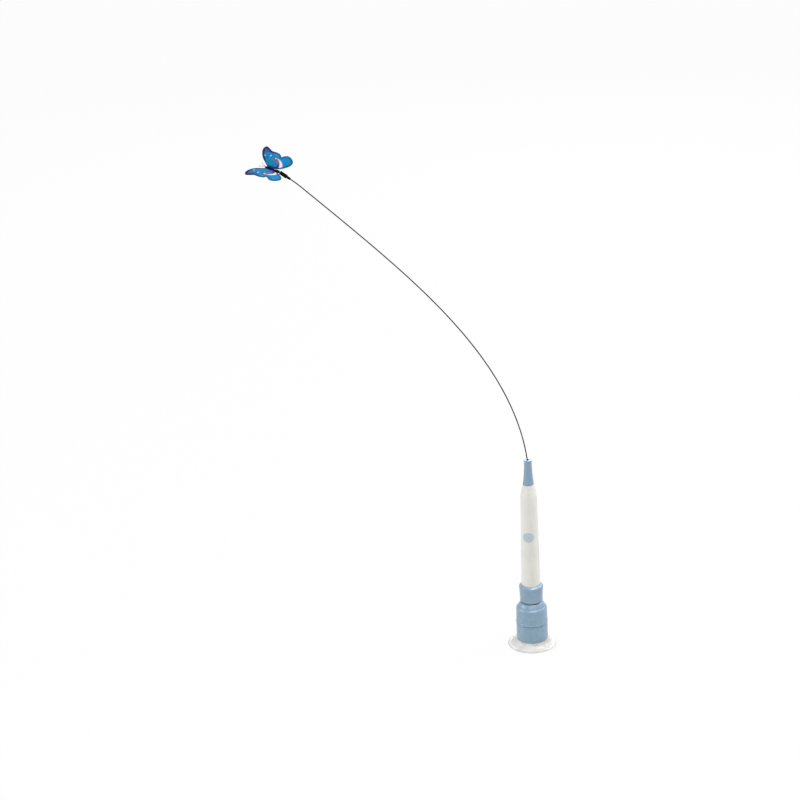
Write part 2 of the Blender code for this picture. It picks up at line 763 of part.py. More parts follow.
def end_plug():
    """Plug that closes the bottom of the handle and rests on the socket's floor."""
    bottom = SOCKET_FLOOR + GAP
    edge = PLUG_EDGE_BREAK
    spigot = handle_radius(0) - HANDLE_WALL - GAP
    profile = [
        (0, bottom + PLUG_FLANGE + PLUG_SPIGOT),
        (spigot - edge, bottom + PLUG_FLANGE + PLUG_SPIGOT),
        (spigot, bottom + PLUG_FLANGE + PLUG_SPIGOT - edge),
        (spigot, bottom + PLUG_FLANGE),
        (handle_radius(0), bottom + PLUG_FLANGE),
        (handle_radius(0), bottom + edge),
        (handle_radius(0) - edge, bottom),
        (0, bottom),
    ]
    return turned("end_plug", profile, NATURAL, closed=False)


def nose_cone():
    """Blue cone that flares towards the handle, with a lip and a flared wire hole."""
    lip = NOSE_LIP_HEIGHT
    flank = NOSE_LENGTH - lip
    flare = NOSE_FOOT_RADIUS - NOSE_WAIST_RADIUS
    outer = [
        (
            NOSE_WAIST_RADIUS + flare * (step / NOSE_STEPS) ** NOSE_CURVE_POWER_SHARE,
            NOSE_TOP - lip - flank * step / NOSE_STEPS,
        )
        for step in range(NOSE_STEPS + 1)
    ]
    spigot_bottom = NOSE_BOTTOM - NOSE_SPIGOT_LENGTH
    ferrule_top = spigot_bottom + FERRULE_LENGTH + GAP
    profile = [
        (NOSE_MOUTH_RADIUS, NOSE_TOP),
        (NOSE_LIP_RADIUS - NOSE_LIP_ROUND, NOSE_TOP),
        (NOSE_LIP_RADIUS, NOSE_TOP - NOSE_LIP_ROUND),
        (NOSE_LIP_RADIUS, NOSE_TOP - lip / 2),
        *outer,
        (NOSE_SPIGOT_RADIUS, NOSE_BOTTOM),
        (NOSE_SPIGOT_RADIUS, spigot_bottom),
        (FERRULE_BORE, spigot_bottom),
        (FERRULE_BORE, ferrule_top),
        (NOSE_HOLE_RADIUS, ferrule_top + FERRULE_BORE - NOSE_HOLE_RADIUS),
        (NOSE_HOLE_RADIUS, NOSE_TOP - NOSE_FLARE_DEPTH),
    ]
    return turned("nose_cone", profile, BLUE)


def wire_ferrule():
    """Crimp tube round the wire's root, with two crimped waists."""
    bottom = NOSE_BOTTOM - NOSE_SPIGOT_LENGTH
    half = FERRULE_CRIMP_LENGTH / 2
    marks = []
    for share in FERRULE_CRIMP_SHARES:
        middle = bottom + FERRULE_LENGTH * share
        marks += [
            (FERRULE_RADIUS, middle + half + FERRULE_CRIMP_DEPTH),
            (FERRULE_RADIUS - FERRULE_CRIMP_DEPTH, middle + half),
            (FERRULE_RADIUS - FERRULE_CRIMP_DEPTH, middle - half),
            (FERRULE_RADIUS, middle - half - FERRULE_CRIMP_DEPTH),
        ]
    profile = [
        (WIRE_BORE, bottom + FERRULE_LENGTH),
        (FERRULE_RADIUS, bottom + FERRULE_LENGTH),
        *marks,
        (FERRULE_RADIUS, bottom),
        (WIRE_BORE, bottom),
    ]
    return turned("wire_ferrule", profile, BRASS, steps=SMALL_STEPS)


def wire_angle(distance):
    """The wire's angle from the vertical at a distance along it from where it leaves the nose."""
    if distance < 0:
        return WIRE_ROOT_ANGLE * max(1 + distance / WIRE_ROOT_LENGTH, 0)
    left = max(1 - distance / WIRE_BARE_LENGTH, 0)
    droop = min(max(1 - (WIRE_BARE_LENGTH - distance) / WIRE_DROOP_LENGTH, 0), 1)
    bend = WIRE_BEND_ANGLE * (1 - left**WIRE_BEND_POWER_SHARE)
    return WIRE_ROOT_ANGLE + bend + WIRE_DROOP_ANGLE * droop


def walk(place, start, end, steps):
    """Points along the wire from one distance to another, each the sum of many fine steps."""
    points = []
    fine = (end - start) / steps / WIRE_FINE_STEPS
    for index in range(steps * WIRE_FINE_STEPS):
        angle = wire_angle(start + (index + 0.5) * fine)
        place = place + Vector((-math.sin(angle), 0, math.cos(angle))) * fine
        if (index + 1) % WIRE_FINE_STEPS == 0:
            points.append(place)
    return points


def wire_points():
    """The wire's middle line: straight in the ferrule, then bending through the nose to its tip."""
    bottom = NOSE_BOTTOM - NOSE_SPIGOT_LENGTH + FERRULE_LENGTH - FERRULE_GRIP
    bend_start = Vector((0, 0, WIRE_EXIT - WIRE_ROOT_LENGTH))
    root = [Vector((0, 0, bottom)), bend_start]
    root += walk(bend_start, -WIRE_ROOT_LENGTH, 0, WIRE_ROOT_STEPS)
    free = walk(root[-1], 0, WIRE_BARE_LENGTH, WIRE_BARE_STEPS)
    free += walk(free[-1], WIRE_BARE_LENGTH, WIRE_FREE_LENGTH, WIRE_HELD_STEPS)
    return root, free


def tip_frame(points):
    """A frame at the wire's tip with its Z along the wire."""
    turn = Matrix.Rotation(-wire_angle(WIRE_FREE_LENGTH), 4, "Y")
    return Matrix.Translation(points[-1]) @ turn


def spring_wire(points):
    return tube("spring_wire", points, WIRE_RADIUS, STEEL)


def tip_sleeve(frame):
    """Black sleeve on the wire, up against the barrel."""
    top = -BARREL_GRIP - GAP
    edge = SLEEVE_EDGE_BREAK
    profile = [
        (WIRE_BORE, top),
        (SLEEVE_RADIUS, top),
        (SLEEVE_RADIUS, top - SLEEVE_LENGTH + edge),
        (SLEEVE_RADIUS - edge, top - SLEEVE_LENGTH),
        (WIRE_BORE, top - SLEEVE_LENGTH),
    ]
    sleeve = turned("tip_sleeve", profile, BLACK, steps=SMALL_STEPS)
    sleeve.matrix_world = frame
    return sleeve


def barrel_front():
    """Height of the barrel's front face above the wire's tip, in the tip frame."""
    return BARREL_LENGTH - BARREL_GRIP


def swivel_barrel(frame):
    """Black barrel: the wire's socket behind, and the swivel pin's pocket in front."""
    front, rear = barrel_front(), -BARREL_GRIP
    edge = BARREL_EDGE_BREAK
    pocket = SWIVEL_HEAD_RADIUS + GAP
    mouth = SWIVEL_PIN_RADIUS + GAP
    pocket_top = front - SWIVEL_HEAD_LENGTH
    pocket_low = pocket_top - SWIVEL_HEAD_LENGTH - 2 * GAP
    waist = BARREL_RADIUS - BARREL_WAIST_DEPTH
    profile = [
        (0, pocket_low),
        (pocket, pocket_low),
        (pocket, pocket_top),
        (mouth, pocket_top),
        (mouth, front),
        (BARREL_RADIUS - edge, front),
        (BARREL_RADIUS, front - edge),
        (BARREL_RADIUS, front - BARREL_BAND),
        (waist, front - BARREL_BAND - BARREL_WAIST_DEPTH),
        (waist, rear + BARREL_BAND + BARREL_WAIST_DEPTH),
        (BARREL_RADIUS, rear + BARREL_BAND),
        (BARREL_RADIUS, rear + edge),
        (BARREL_RADIUS - edge, rear),
        (WIRE_BORE, rear),
        (WIRE_BORE, GAP),
        (0, GAP),
    ]
    barrel = turned("swivel_barrel", profile, BLACK, closed=False, steps=SMALL_STEPS)
    barrel.matrix_world = frame
    return barrel


def heading():
    """The butterfly's frame as a rotation matrix: X forward, Y to its left, Z up."""
    forward = Vector(
        (
            -math.cos(HEADING_YAW) * math.cos(HEADING_PITCH),
            math.sin(HEADING_YAW) * math.cos(HEADING_PITCH),
            math.sin(HEADING_PITCH),
        )
    )
    left = Vector((-math.sin(HEADING_YAW), -math.cos(HEADING_YAW), 0))
    level = Matrix((forward, left, forward.cross(left))).transposed()
    return level @ Matrix.Rotation(-HEADING_ROLL, 3, "X")


def bend_points(frame):
    """The swivel pin's middle line: out of the barrel, through a bend, along the bead."""
    along = (frame.to_3x3() @ Vector((0, 0, 1))).normalized()
    forward = heading() @ Vector((1, 0, 0))
    head = frame @ Vector((0, 0, barrel_front() - SWIVEL_HEAD_LENGTH - GAP - SWIVEL_HEAD_LENGTH / 2))
    leave = frame @ Vector((0, 0, barrel_front() + GAP))
    points = [head, leave]
    for step in range(1, PIN_BEND_STEPS + 1):
        direction = along.lerp(forward, step / (PIN_BEND_STEPS + 1)).normalized()
        points.append(points[-1] + direction * SWIVEL_GAP / PIN_BEND_STEPS)
    bead_start = points[-1]
    return points, bead_start, forward


def swivel_pin(frame):
    """Headed pin that swivels in the barrel and carries the bead and the body."""
    points, bead_start, forward = bend_points(frame)
    end = bead_start + forward * (BEAD_LENGTH + GAP + BODY_TAIL_GAP + BODY_PIN_GRIP)
    pin = tube("swivel_pin", [*points, end], SWIVEL_PIN_RADIUS, STEEL)
    bpy.ops.mesh.primitive_cylinder_add(
        vertices=SMALL_STEPS, radius=SWIVEL_HEAD_RADIUS, depth=SWIVEL_HEAD_LENGTH
    )
    head = bpy.context.object
    head.name = "swivel_head"
    head.matrix_world = Matrix.Translation(points[0]) @ frame.to_3x3().to_4x4()
    move_to(head, CUTTERS)
    cut(pin, head, "UNION")
    return pin


def body_frame(bead_start, forward):
    """A frame at the body's tail with Z along the body, for the bead and the body alike."""
    turn = heading().to_4x4() @ Matrix.Rotation(math.pi / 2, 4, "Y")
    return Matrix.Translation(bead_start + forward * GAP) @ turn


def neck_bead(frame):
    """Round-ended black bead on the pin."""
    bore = SWIVEL_PIN_RADIUS + GAP
    turn = math.pi / BEAD_STEPS
    outer = [
        (
            bore + (BEAD_RADIUS - bore) * math.sin(turn * step) ** BEAD_ROUND_POWER_SHARE,
            BEAD_LENGTH * (1 + math.cos(turn * step)) / 2,
        )
        for step in range(1, BEAD_STEPS)
    ]
    profile = [(bore, BEAD_LENGTH), *outer, (bore, 0)]
    bead = turned("neck_bead", profile, BLACK, steps=SMALL_STEPS)
    bead.matrix_world = frame
    return bead


def butterfly_body(frame):
    """Dark body with abdomen, thorax and head, and a blind hole in its tail for the pin."""
    bore = SWIVEL_PIN_RADIUS + GAP
    outline = smooth_through(BODY_OUTLINE_SHARES, 2)
    outer = [(BODY_RADIUS * radius, BODY_LENGTH * height) for height, radius in reversed(outline)]
    floor = BODY_PIN_GRIP + GAP
    profile = [(0, BODY_LENGTH), *outer, (bore, 0), (bore, floor), (0, floor)]
    body = turned("butterfly_body", profile, NAVY, closed=False, steps=SMALL_STEPS)
    body.matrix_world = frame @ Matrix.Translation((0, 0, BEAD_LENGTH + BODY_TAIL_GAP))
    return body


def wing_edge():
    """The wing's edge as (angle, reach) pairs, evenly spread over its fan."""
    places = [(math.radians(angle), share) for angle, share in WING_EDGE_SHARES]
    fine = smooth_through(places, 8)
    first, last = fine[0][0], fine[-1][0]
    edge = []
    for step in range(WING_FAN_STEPS + 1):
        angle = first + (last - first) * step / WING_FAN_STEPS
        for (a, p), (b, q) in zip(fine, fine[1:]):
            if b <= angle <= a:
                edge.append((angle, WING_REACH * (p + (q - p) * (angle - a) / (b - a))))
                break
    return edge


def body_radius(forward):
    """The body's radius at a distance forward of the thorax's middle."""
    share = THORAX_SHARE + forward / BODY_LENGTH
    for (low, p), (high, q) in zip(BODY_OUTLINE_SHARES, BODY_OUTLINE_SHARES[1:]):
        if low <= share <= high:
            return BODY_RADIUS * (p + (q - p) * (share - low) / (high - low))
    return BODY_RADIUS


def wing_height(forward, side):
    """The cambered film's height over the wing plane: it arches, and lifts at the tip."""
    out = side / WING_REACH
    along = forward / WING_REACH
    arch = math.sin(math.pi * min(out, 1))
    return WING_CAMBER * (ARCH_SHARE * arch - TWIST_SHARE * along * out + LIFT_SHARE * out * out)


def wing(name, side, frame):
    """One side's film, forewing and hindwing in one sheet, thickened to a closed shell."""
    shape = bmesh.new()
    edge = wing_edge()
    rows = []
    for index, (angle, reach) in enumerate(edge):
        share = index / (len(edge) - 1)
        root = WING_ROOT_FRONT - (WING_ROOT_FRONT + WING_ROOT_REAR) * share
        start = Vector((root, body_radius(root) + WING_THICKNESS / 2 + GAP))
        end = Vector((math.sin(angle), math.cos(angle))) * reach
        end.y += BODY_RADIUS + GAP
        row = []
        for ring in range(WING_RINGS + 1):
            forward, out = start.lerp(end, ring / WING_RINGS)
            row.append(shape.verts.new((forward, side * out, wing_height(forward, out))))
        rows.append(row)
    for here, there in zip(rows, rows[1:]):
        for k in range(WING_RINGS):
            shape.faces.new((here[k], here[k + 1], there[k + 1], there[k]))
    bmesh.ops.recalc_face_normals(shape, faces=shape.faces)
    mesh = bpy.data.meshes.new(name)
    shape.to_mesh(mesh)
    shape.free()
    sheet = add_object(name, mesh, PARTS, WING_BLUE)
    solid = sheet.modifiers.new("Film", "SOLIDIFY")
    solid.thickness = WING_THICKNESS
    solid.offset = 0
    sheet.matrix_world = frame @ Matrix.Rotation(side * WING_DIHEDRAL, 4, "X")
    mesh.shade_smooth()
    return sheet


def antenna(name, side, frame):
    """Thin curved antenna with a club, from a pit in the head."""
    out_root, up_root = ANTENNA_ROOT_SHARES
    points = []
    radii = []
    for step in range(ANTENNA_STEPS + 1):
        t = step / ANTENNA_STEPS
        place = Vector(
            (
                t,
                side * (out_root + ANTENNA_SPREAD_SHARE * t * t),
                up_root + ANTENNA_RISE_SHARE * math.sin(t * math.pi / 2),
            )
        )
        points.append(frame @ (place * ANTENNA_LENGTH))
        club = max(0, t - ANTENNA_CLUB_SHARE) / (1 - ANTENNA_CLUB_SHARE)
        radii.append(1 + (ANTENNA_CLUB_RADIUS / ANTENNA_RADIUS - 1) * club)
    return tube(name, points, ANTENNA_RADIUS, PINK, radii)


def build_foot():
    return [suction_cup(), lift_stem(), cross_pin(), base_ring()]


def build_head():
    head = [twist_drum(), cam_ring(), socket_collar(), screw_washer(), socket_screw()]
    carrier("twist_axis", (0, 0, DRUM_BOTTOM), head)
    return head


def build_wand(points):
    wand = [handle_shell(), end_plug(), nose_cone(), wire_ferrule(), spring_wire(points)]
    carrier("wand_axis", (0, 0, HANDLE_BOTTOM), wand)
    return wand


def place_on_body(body, distance):
    """The butterfly's own axes at a distance along its body from the tail."""
    tail = BEAD_LENGTH + BODY_TAIL_GAP
    return Matrix.Translation(body @ Vector((0, 0, tail + distance))) @ heading().to_4x4()


def build_butterfly(frame):
    _, bead_start, forward = bend_points(frame)
    body = body_frame(bead_start, forward)
    thorax = place_on_body(body, BODY_LENGTH * THORAX_SHARE)
    crown = place_on_body(body, BODY_LENGTH + GAP)
    pieces = [
        swivel_pin(frame),
        neck_bead(body),
        butterfly_body(body),
        wing("left_wing", 1, thorax),
        wing("right_wing", -1, thorax),
        antenna("left_antenna", 1, crown),
        antenna("right_antenna", -1, crown),
    ]
    carrier("butterfly_axis", frame @ Vector((0, 0, barrel_front())), pieces)
    return pieces


def carrier(name, place, pieces):
    """An empty on a joint's axis, which carries the pieces that move with it."""
    empty = bpy.data.objects.new(name, None)
    PARTS.objects.link(empty)
    empty.location = place
    empty.empty_display_size = CUP_HEIGHT
    bpy.context.view_layer.update()
    for piece in pieces:
        world = piece.matrix_world.copy()
        piece.parent = empty
        piece.matrix_parent_inverse = empty.matrix_world.inverted()
        piece.matrix_world = world
    return empty


def main():
    root, free = wire_points()
    points = root + free
    frame = tip_frame(points)
    build_foot()
    build_head()
    build_wand(points)
    tip = [tip_sleeve(frame), swivel_barrel(frame)]
    carrier("wire_bend_axis", root[-1], tip)
    build_butterfly(frame)


clear_scene()
PARTS = collection("butterfly_cat_toy")
CUTTERS = collection("cutters")
BLUE = material("pale_blue_plastic", (0.30, 0.44, 0.56), 0.42)
WHITE = material("white_plastic", (0.80, 0.80, 0.77), 0.38)
SOFT_CLEAR = material("clear_soft_plastic", (0.85, 0.87, 0.86), 0.25, alpha=0.45)
NATURAL = material("natural_plastic", (0.75, 0.74, 0.70), 0.5)
STEEL = material("spring_steel", (0.33, 0.31, 0.29), 0.32, metallic=1.0)
BRASS = material("brass_crimp", (0.62, 0.48, 0.22), 0.35, metallic=1.0)
BLACK = material("black_plastic", (0.012, 0.012, 0.014), 0.28)
NAVY = material("navy_body", (0.010, 0.018, 0.055), 0.5)
WING_BLUE = material("printed_film", (0.01, 0.20, 0.65), 0.3)
PINK = material("pink_filament", (0.62, 0.36, 0.42), 0.5)
main()
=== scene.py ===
"""The butterfly cat toy, dressed: fine turned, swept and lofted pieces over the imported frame.

Each sub-assembly is a class. Its fields are the real sizes, in metres, and its methods build the
pieces, give them their finishes and set them on the body that carries them.
"""

import sys

import logging
import math
from dataclasses import dataclass
from enum import Enum
from functools import lru_cache
from typing import Iterable, Protocol, Sequence, Union

import bmesh
import bpy
from mathutils import Matrix, Quaternion, Vector, noise


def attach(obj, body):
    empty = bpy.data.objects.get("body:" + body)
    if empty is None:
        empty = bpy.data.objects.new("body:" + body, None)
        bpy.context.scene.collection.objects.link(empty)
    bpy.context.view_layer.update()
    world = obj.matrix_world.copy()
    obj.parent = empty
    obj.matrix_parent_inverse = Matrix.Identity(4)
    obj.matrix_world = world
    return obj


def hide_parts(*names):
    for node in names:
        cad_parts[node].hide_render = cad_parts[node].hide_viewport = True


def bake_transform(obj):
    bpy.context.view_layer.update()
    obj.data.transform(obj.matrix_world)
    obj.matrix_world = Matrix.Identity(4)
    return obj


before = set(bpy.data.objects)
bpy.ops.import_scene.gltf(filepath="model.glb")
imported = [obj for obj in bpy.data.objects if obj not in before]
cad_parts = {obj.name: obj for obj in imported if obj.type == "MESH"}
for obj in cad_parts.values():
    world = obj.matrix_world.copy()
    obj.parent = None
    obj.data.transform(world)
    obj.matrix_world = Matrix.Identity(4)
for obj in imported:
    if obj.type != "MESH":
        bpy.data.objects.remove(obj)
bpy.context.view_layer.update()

LOG = logging.getLogger("butterfly_toy")

MM = 0.001
GAP = 0.3 * MM
ON_AXIS = 0.001 * MM

# How many steps a turned piece has round it, and how many a rounded corner has
TURN_STEPS = 112
FINE_STEPS = 96
MIDDLE_STEPS = 64
SMALL_STEPS = 48
ROUND_STEPS = 5

# The share of an edge that the rounding of one corner may take
MOST_ROUND = 0.48

# The angle from which an edge stays sharp, on solid pieces and on film
SHARP = math.radians(32.0)
FOLDED = math.radians(80.0)

Colour = tuple[float, float, float]
Place = tuple[float, float]
Piece = bpy.types.Object
Value = Union[float, Colour, "Flow"]

# What goes into a shader's inputs, by their names
Look = dict[str, Value]

# How much of a coat of colour shows, and the colour
Coat = tuple[Value, Value]

# A corner of a turned outline: radius and height in metres and, where it is rounded off, by how many mm
Corner = tuple[float, ...]


def shade(red: int, green: int, blue: int) -> Colour:
    """Turns a screen colour, each part 0 to 255, into the linear colour that a shader takes."""
    shares = (level / 255.0 for level in (red, green, blue))
    return tuple(s / 12.92 if s <= 0.04045 else ((s + 0.055) / 1.055) ** 2.4 for s in shares)


class Body(Enum):
    """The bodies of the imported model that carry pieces."""

    FOOT = "foot"
    LIFT = "lift"
    HEAD = "twist_head"
    WAND = "wand"
    TIP = "wire_tip"
    BUTTERFLY = "butterfly"


class Slot(Enum):
    """The record's material slots that the scene's own pieces stand for."""

    SOFT_CLEAR = "soft_clear"
    BLUE = "blue_plastic"
    WHITE = "white_plastic"
    STEEL = "steel"
    BLACK = "black_plastic"
    NAVY = "navy_body"
    WING = "wing_film"
    PINK = "pink_filament"


class Space(Enum):
    """What a pattern takes its places from: the object itself or one of its UV maps."""

    OBJECT = "Object"
    TURNING = "turning"
    LENGTH = "length"
    PLAN = "plan"
    RIM = "rim"


class Tone(Enum):
    """How one colour is laid over another."""

    MIX = "MIX"
    OVERLAY = "OVERLAY"


class Side(Enum):
    """A side of the butterfly, as the sign of its own left-pointing axis."""

    LEFT = 1
    RIGHT = -1


class Flow:
    """A number or colour that flows through a tree of nodes; its sums are written as plain sums."""

    def __init__(self, bench: "Bench", socket: bpy.types.NodeSocket) -> None:
        """Keeps the socket that it comes from, and the bench that the socket is on."""
        self.bench = bench
        self.socket = socket

    def __add__(self, other: Value) -> "Flow":
        """This plus the other."""
        return self.bench.calc("ADD", self, other)

    def __sub__(self, other: Value) -> "Flow":
        """This less the other."""
        return self.bench.calc("SUBTRACT", self, other)

    def __rsub__(self, other: Value) -> "Flow":
        """The other less this."""
        return self.bench.calc("SUBTRACT", other, self)

    def __mul__(self, other: Value) -> "Flow":
        """This times the other."""
        return self.bench.calc("MULTIPLY", self, other)

    def __truediv__(self, other: Value) -> "Flow":
        """This divided by the other."""
        return self.bench.calc("DIVIDE", self, other)

    def span(self, start: float, end: float, low: float = 0.0, high: float = 1.0) -> "Flow":
        """Maps the range from start to end smoothly onto low to high, held at both ends."""
        inputs = {"Value": self, "From Min": start, "From Max": end, "To Min": low, "To Max": high}
        return self.bench.flow("MapRange", "Result", inputs, interpolation_type="SMOOTHSTEP")


class Bench:
    """Lays out the nodes of one material, or of the world, and wires them up."""

    def __init__(self, owner: Union[bpy.types.Material, bpy.types.World]) -> None:
        """Starts with no nodes.

        Args:
            owner: The material or the world.
        """
        owner.use_nodes = True
        self.tree = owner.node_tree
        self.tree.nodes.clear()

    def add(self, kind: str, inputs: Union[dict, None] = None, **settings: object) -> bpy.types.Node:
        """Adds a node.

        Args:
            kind: The node's type, without its ShaderNode prefix.
            inputs: What goes into its sockets, by their names or numbers.
            **settings: Properties to set on it first.

        Returns:
            The new node.
        """
        node = self.tree.nodes.new("ShaderNode" + kind)
        for key, setting in settings.items():
            setattr(node, key, setting)
        for key, value in (inputs or {}).items():
            socket = node.inputs[key]
            if isinstance(value, Flow):
                self.tree.links.new(value.socket, socket)
            elif isinstance(value, tuple) and socket.type == "RGBA":
                socket.default_value = (*value, 1.0)
            else:
                socket.default_value = value
        return node

    def flow(
        self, kind: str, output: Union[str, int], inputs: Union[dict, None] = None, **settings: object
    ) -> Flow:
        """Adds a node and takes one of its outputs, by its name or number."""
        return Flow(self, self.add(kind, inputs, **settings).outputs[output])

    def places(self, space: Space, stretch: Sequence[float] = ()) -> Flow:
        """Gives the places that a pattern is laid out on.

        Args:
            space: The object or the UV map that they come from.
            stretch: A factor along each axis, if there is one.

        Returns:
            The places.
        """
        if space is Space.OBJECT:
            found = self.flow("TexCoord", space.value)
        else:
            found = self.flow("UVMap", "UV", uv_map=space.value)
        if not stretch:
            return found
        return self.flow("Mapping", "Vector", {"Vector": found, "Scale": tuple(stretch)})

    def split(self, space: Space) -> tuple[Flow, ...]:
        """Gives the places of a UV map, one axis at a time."""
        return tuple(Flow(self, axis) for axis in self.add("SeparateXYZ", {0: self.places(space)}).outputs)

    def noise(
        self,
        size: float,
        detail: float = 3.0,
        rough: float = 0.5,
        swirl: float = 0.0,
        space: Space = Space.OBJECT,
        stretch: Sequence[float] = (),
    ) -> Flow:
        """Adds a cloudy pattern.

        Args:
            size: The size of one cloud, in the unit of the places.
            detail: How many finer layers it has.
            rough: How strong the finer layers are.
            swirl: How far the clouds are twisted.
            space: Where it is laid out.
            stretch: A factor on the places along each axis, if there is one.

        Returns:
            A number from 0 to 1.
        """
        inputs = {"Vector": self.places(space, stretch), "Scale": 1.0 / size, "Detail": detail,
                  "Roughness": rough, "Distortion": swirl}
        return self.flow("TexNoise", "Fac", inputs)

    def cells(self, size: float, edges: bool = False) -> Flow:
        """Adds a pattern of cells, measured from their middles or from their edges."""
        inputs = {"Vector": self.places(Space.OBJECT), "Scale": 1.0 / size}
        return self.flow("TexVoronoi", "Distance", inputs, feature="DISTANCE_TO_EDGE" if edges else "F1")

    def calc(self, how: str, first: Value, second: Value = 0.0) -> Flow:
        """Adds one sum, named as Blender names it."""
        return self.flow("Math", 0, {0: first, 1: second}, operation=how)

    def bearing(self, across: Value, along: Value) -> Flow:
        """The angle of a direction, in degrees from its second part towards its first."""
        return self.calc("DEGREES", self.calc("ARCTAN2", across, along))

    def distance(self, ahead: Flow, aside: Flow) -> Flow:
        """The length of a step with these two parts."""
        return self.calc("SQRT", ahead * ahead + aside * aside)

    def ramp(self, value: Value, *stops: tuple[float, Colour]) -> Flow:
        """Adds a run of colours.

        Args:
            value: The place along the run.
            *stops: Pairs of a place and its colour.

        Returns:
            The colour.
        """
        node = self.add("ValToRGB", {"Fac": value})
        marks = node.color_ramp.elements
        while len(marks) < len(stops):
            marks.new(0.5)
        for mark, (where, colour) in zip(marks, stops):
            mark.position = where
            mark.color = (*colour, 1.0)
        return Flow(self, node.outputs["Color"])

    def coats(self, colour: Value, *coats: Coat, tone: Tone = Tone.MIX) -> Value:
        """Lays coats of colour over one another.

        Args:
            colour: The lowest colour.
            *coats: For each coat, how much of it shows and its colour.
            tone: How they are laid.

        Returns:
            The colour on top.
        """
        for share, upper in coats:
            inputs = {"Factor": share, 6: colour, 7: upper}
            colour = self.flow("Mix", 2, inputs, data_type="RGBA", blend_type=tone.value)
        return colour

    def relief(self, *bumps: tuple[Flow, float, float]) -> Flow:
        """Adds bumps, each over the one before.

        Args:
            *bumps: For each bump its pattern, its strength and its real depth in metres.

        Returns:
            The normal.
        """
        under: Look = {}
        for height, strength, depth in bumps:
            inputs = {"Height": height, "Strength": strength, "Distance": depth, **under}
            under = {"Normal": self.flow("Bump", "Normal", inputs)}
        return under["Normal"]


class Finish(Protocol):
    """A surface that a piece can be given."""

    name: str
    body: Colour

    def look(self, bench: Bench) -> Look:
        """Lays out the pattern and gives the shader's inputs."""


@dataclass(frozen=True)
class MouldedPlastic:
    """Moulded plastic: a satin skin with flow bands, fine pores, rubbed spots and scuffs."""

    name: str
    body: Colour
    pale: Colour
    deep: Colour
    satin: float = 0.29
    gloss: float = 0.5

    def look(self, bench: Bench) -> Look:
        """Lays out the pattern.

        Args:
            bench: The material's bench.

        Returns:
            The shader's inputs.
        """
        bands = bench.noise(9 * MM, 4, 0.55, 0.6, stretch=(1.0, 1.0, 0.22))
        cloud = bench.noise(26 * MM)
        specks = bench.cells(1.7 * MM).span(0.03, 0.09, 1.0, 0.0)
        pores = bench.noise(0.16 * MM, 2, 0.6)
        waves = bench.noise(4.5 * MM, 2, 0.4)
        scuffs = bench.noise(0.9 * MM, 5, 0.7, stretch=(1.0, 1.0, 0.08)).span(0.60, 0.72)
        rubbed = cloud.span(0.3, 0.7, self.satin - 0.04, self.satin + 0.05)
        return {
            "Base Color": bench.coats(
                self.body,
                (bands.span(0.35, 0.72), self.pale),
                (cloud.span(0.42, 0.78, 0.0, 0.7), self.deep),
                (specks * 0.22, self.deep),
            ),
            "Roughness": rubbed + scuffs * 0.09 + pores * 0.05,
            "Specular IOR Level": self.gloss,
            "Normal": bench.relief((waves, 0.10, 0.25 * MM), (pores, 0.14, 0.03 * MM)),
        }


@dataclass(frozen=True)
class SoftClear:
    """Soft clear cup material: milky, with faint flow rings, a dusty bloom and fine dimples."""

    name: str = "soft_clear_cup"
    body: Colour = shade(243, 241, 238)
    warm: Colour = shade(234, 228, 223)
    clear: float = 0.18
    milk_depth: float = 2.5 * MM

    def look(self, bench: Bench) -> Look:
        """Lays out the pattern.

        Args:
            bench: The material's bench.

        Returns:
            The shader's inputs.
        """
        cloud = bench.noise(14 * MM, 4, 0.55, 0.4)
        rings = bench.noise(1.0, 2, space=Space.TURNING, stretch=(4.0, 60.0, 1.0))
        dimples = bench.noise(0.5 * MM, 3, 0.6)
        dust = bench.cells(2.3 * MM).span(0.02, 0.08, 1.0, 0.0)
        milky = bench.noise(12 * MM, 2)
        return {
            "Base Color": bench.coats(self.body, (cloud.span(0.4, 0.7), self.warm)),
            "Roughness": cloud.span(0.3, 0.7, 0.20, 0.28) + dust * 0.25,
            "IOR": 1.42,
            "Transmission Weight": milky.span(0.3, 0.7, self.clear - 0.04, self.clear + 0.04),
            "Subsurface Weight": 0.45,
            "Subsurface Radius": (self.milk_depth, self.milk_depth, self.milk_depth),
            "Subsurface Scale": 1.0,
            "Normal": bench.relief((rings, 0.05, 0.10 * MM), (dimples, 0.07, 0.03 * MM)),
        }


@dataclass(frozen=True)
class Metal:
    """Bare metal with drawing or turning marks along one direction, stains and fine pits."""

    name: str
    body: Colour
    stain: Colour
    bright: Colour
    space: Space = Space.OBJECT
    grain: tuple[float, float, float] = (1.0, 1.0, 14.0)
    mark: float = 0.5 * MM
    satin: float = 0.34

    def look(self, bench: Bench) -> Look:
        """Lays out the pattern.

        Args:
            bench: The material's bench.

        Returns:
            The shader's inputs.
        """
        marks = bench.noise(self.mark, 5, 0.65, space=self.space, stretch=self.grain)
        stains = bench.noise(11 * MM, 4, 0.6, 0.5)
        pits = bench.cells(0.8 * MM).span(0.04, 0.12, 1.0, 0.0)
        worn = marks.span(0.2, 0.8, self.satin - 0.07, self.satin + 0.09)
        return {
            "Base Color": bench.coats(
                self.body,
                (marks.span(0.3, 0.75), self.bright),
                (stains.span(0.5, 0.75, 0.0, 0.7), self.stain),
                (pits * 0.4, self.stain),
            ),
            "Metallic": 1.0,
            "Roughness": worn + stains.span(0.5, 0.8, 0.0, 0.12),
            "Normal": bench.relief((marks, 0.25, 0.03 * MM), (pits, 0.15, 0.02 * MM)),
        }


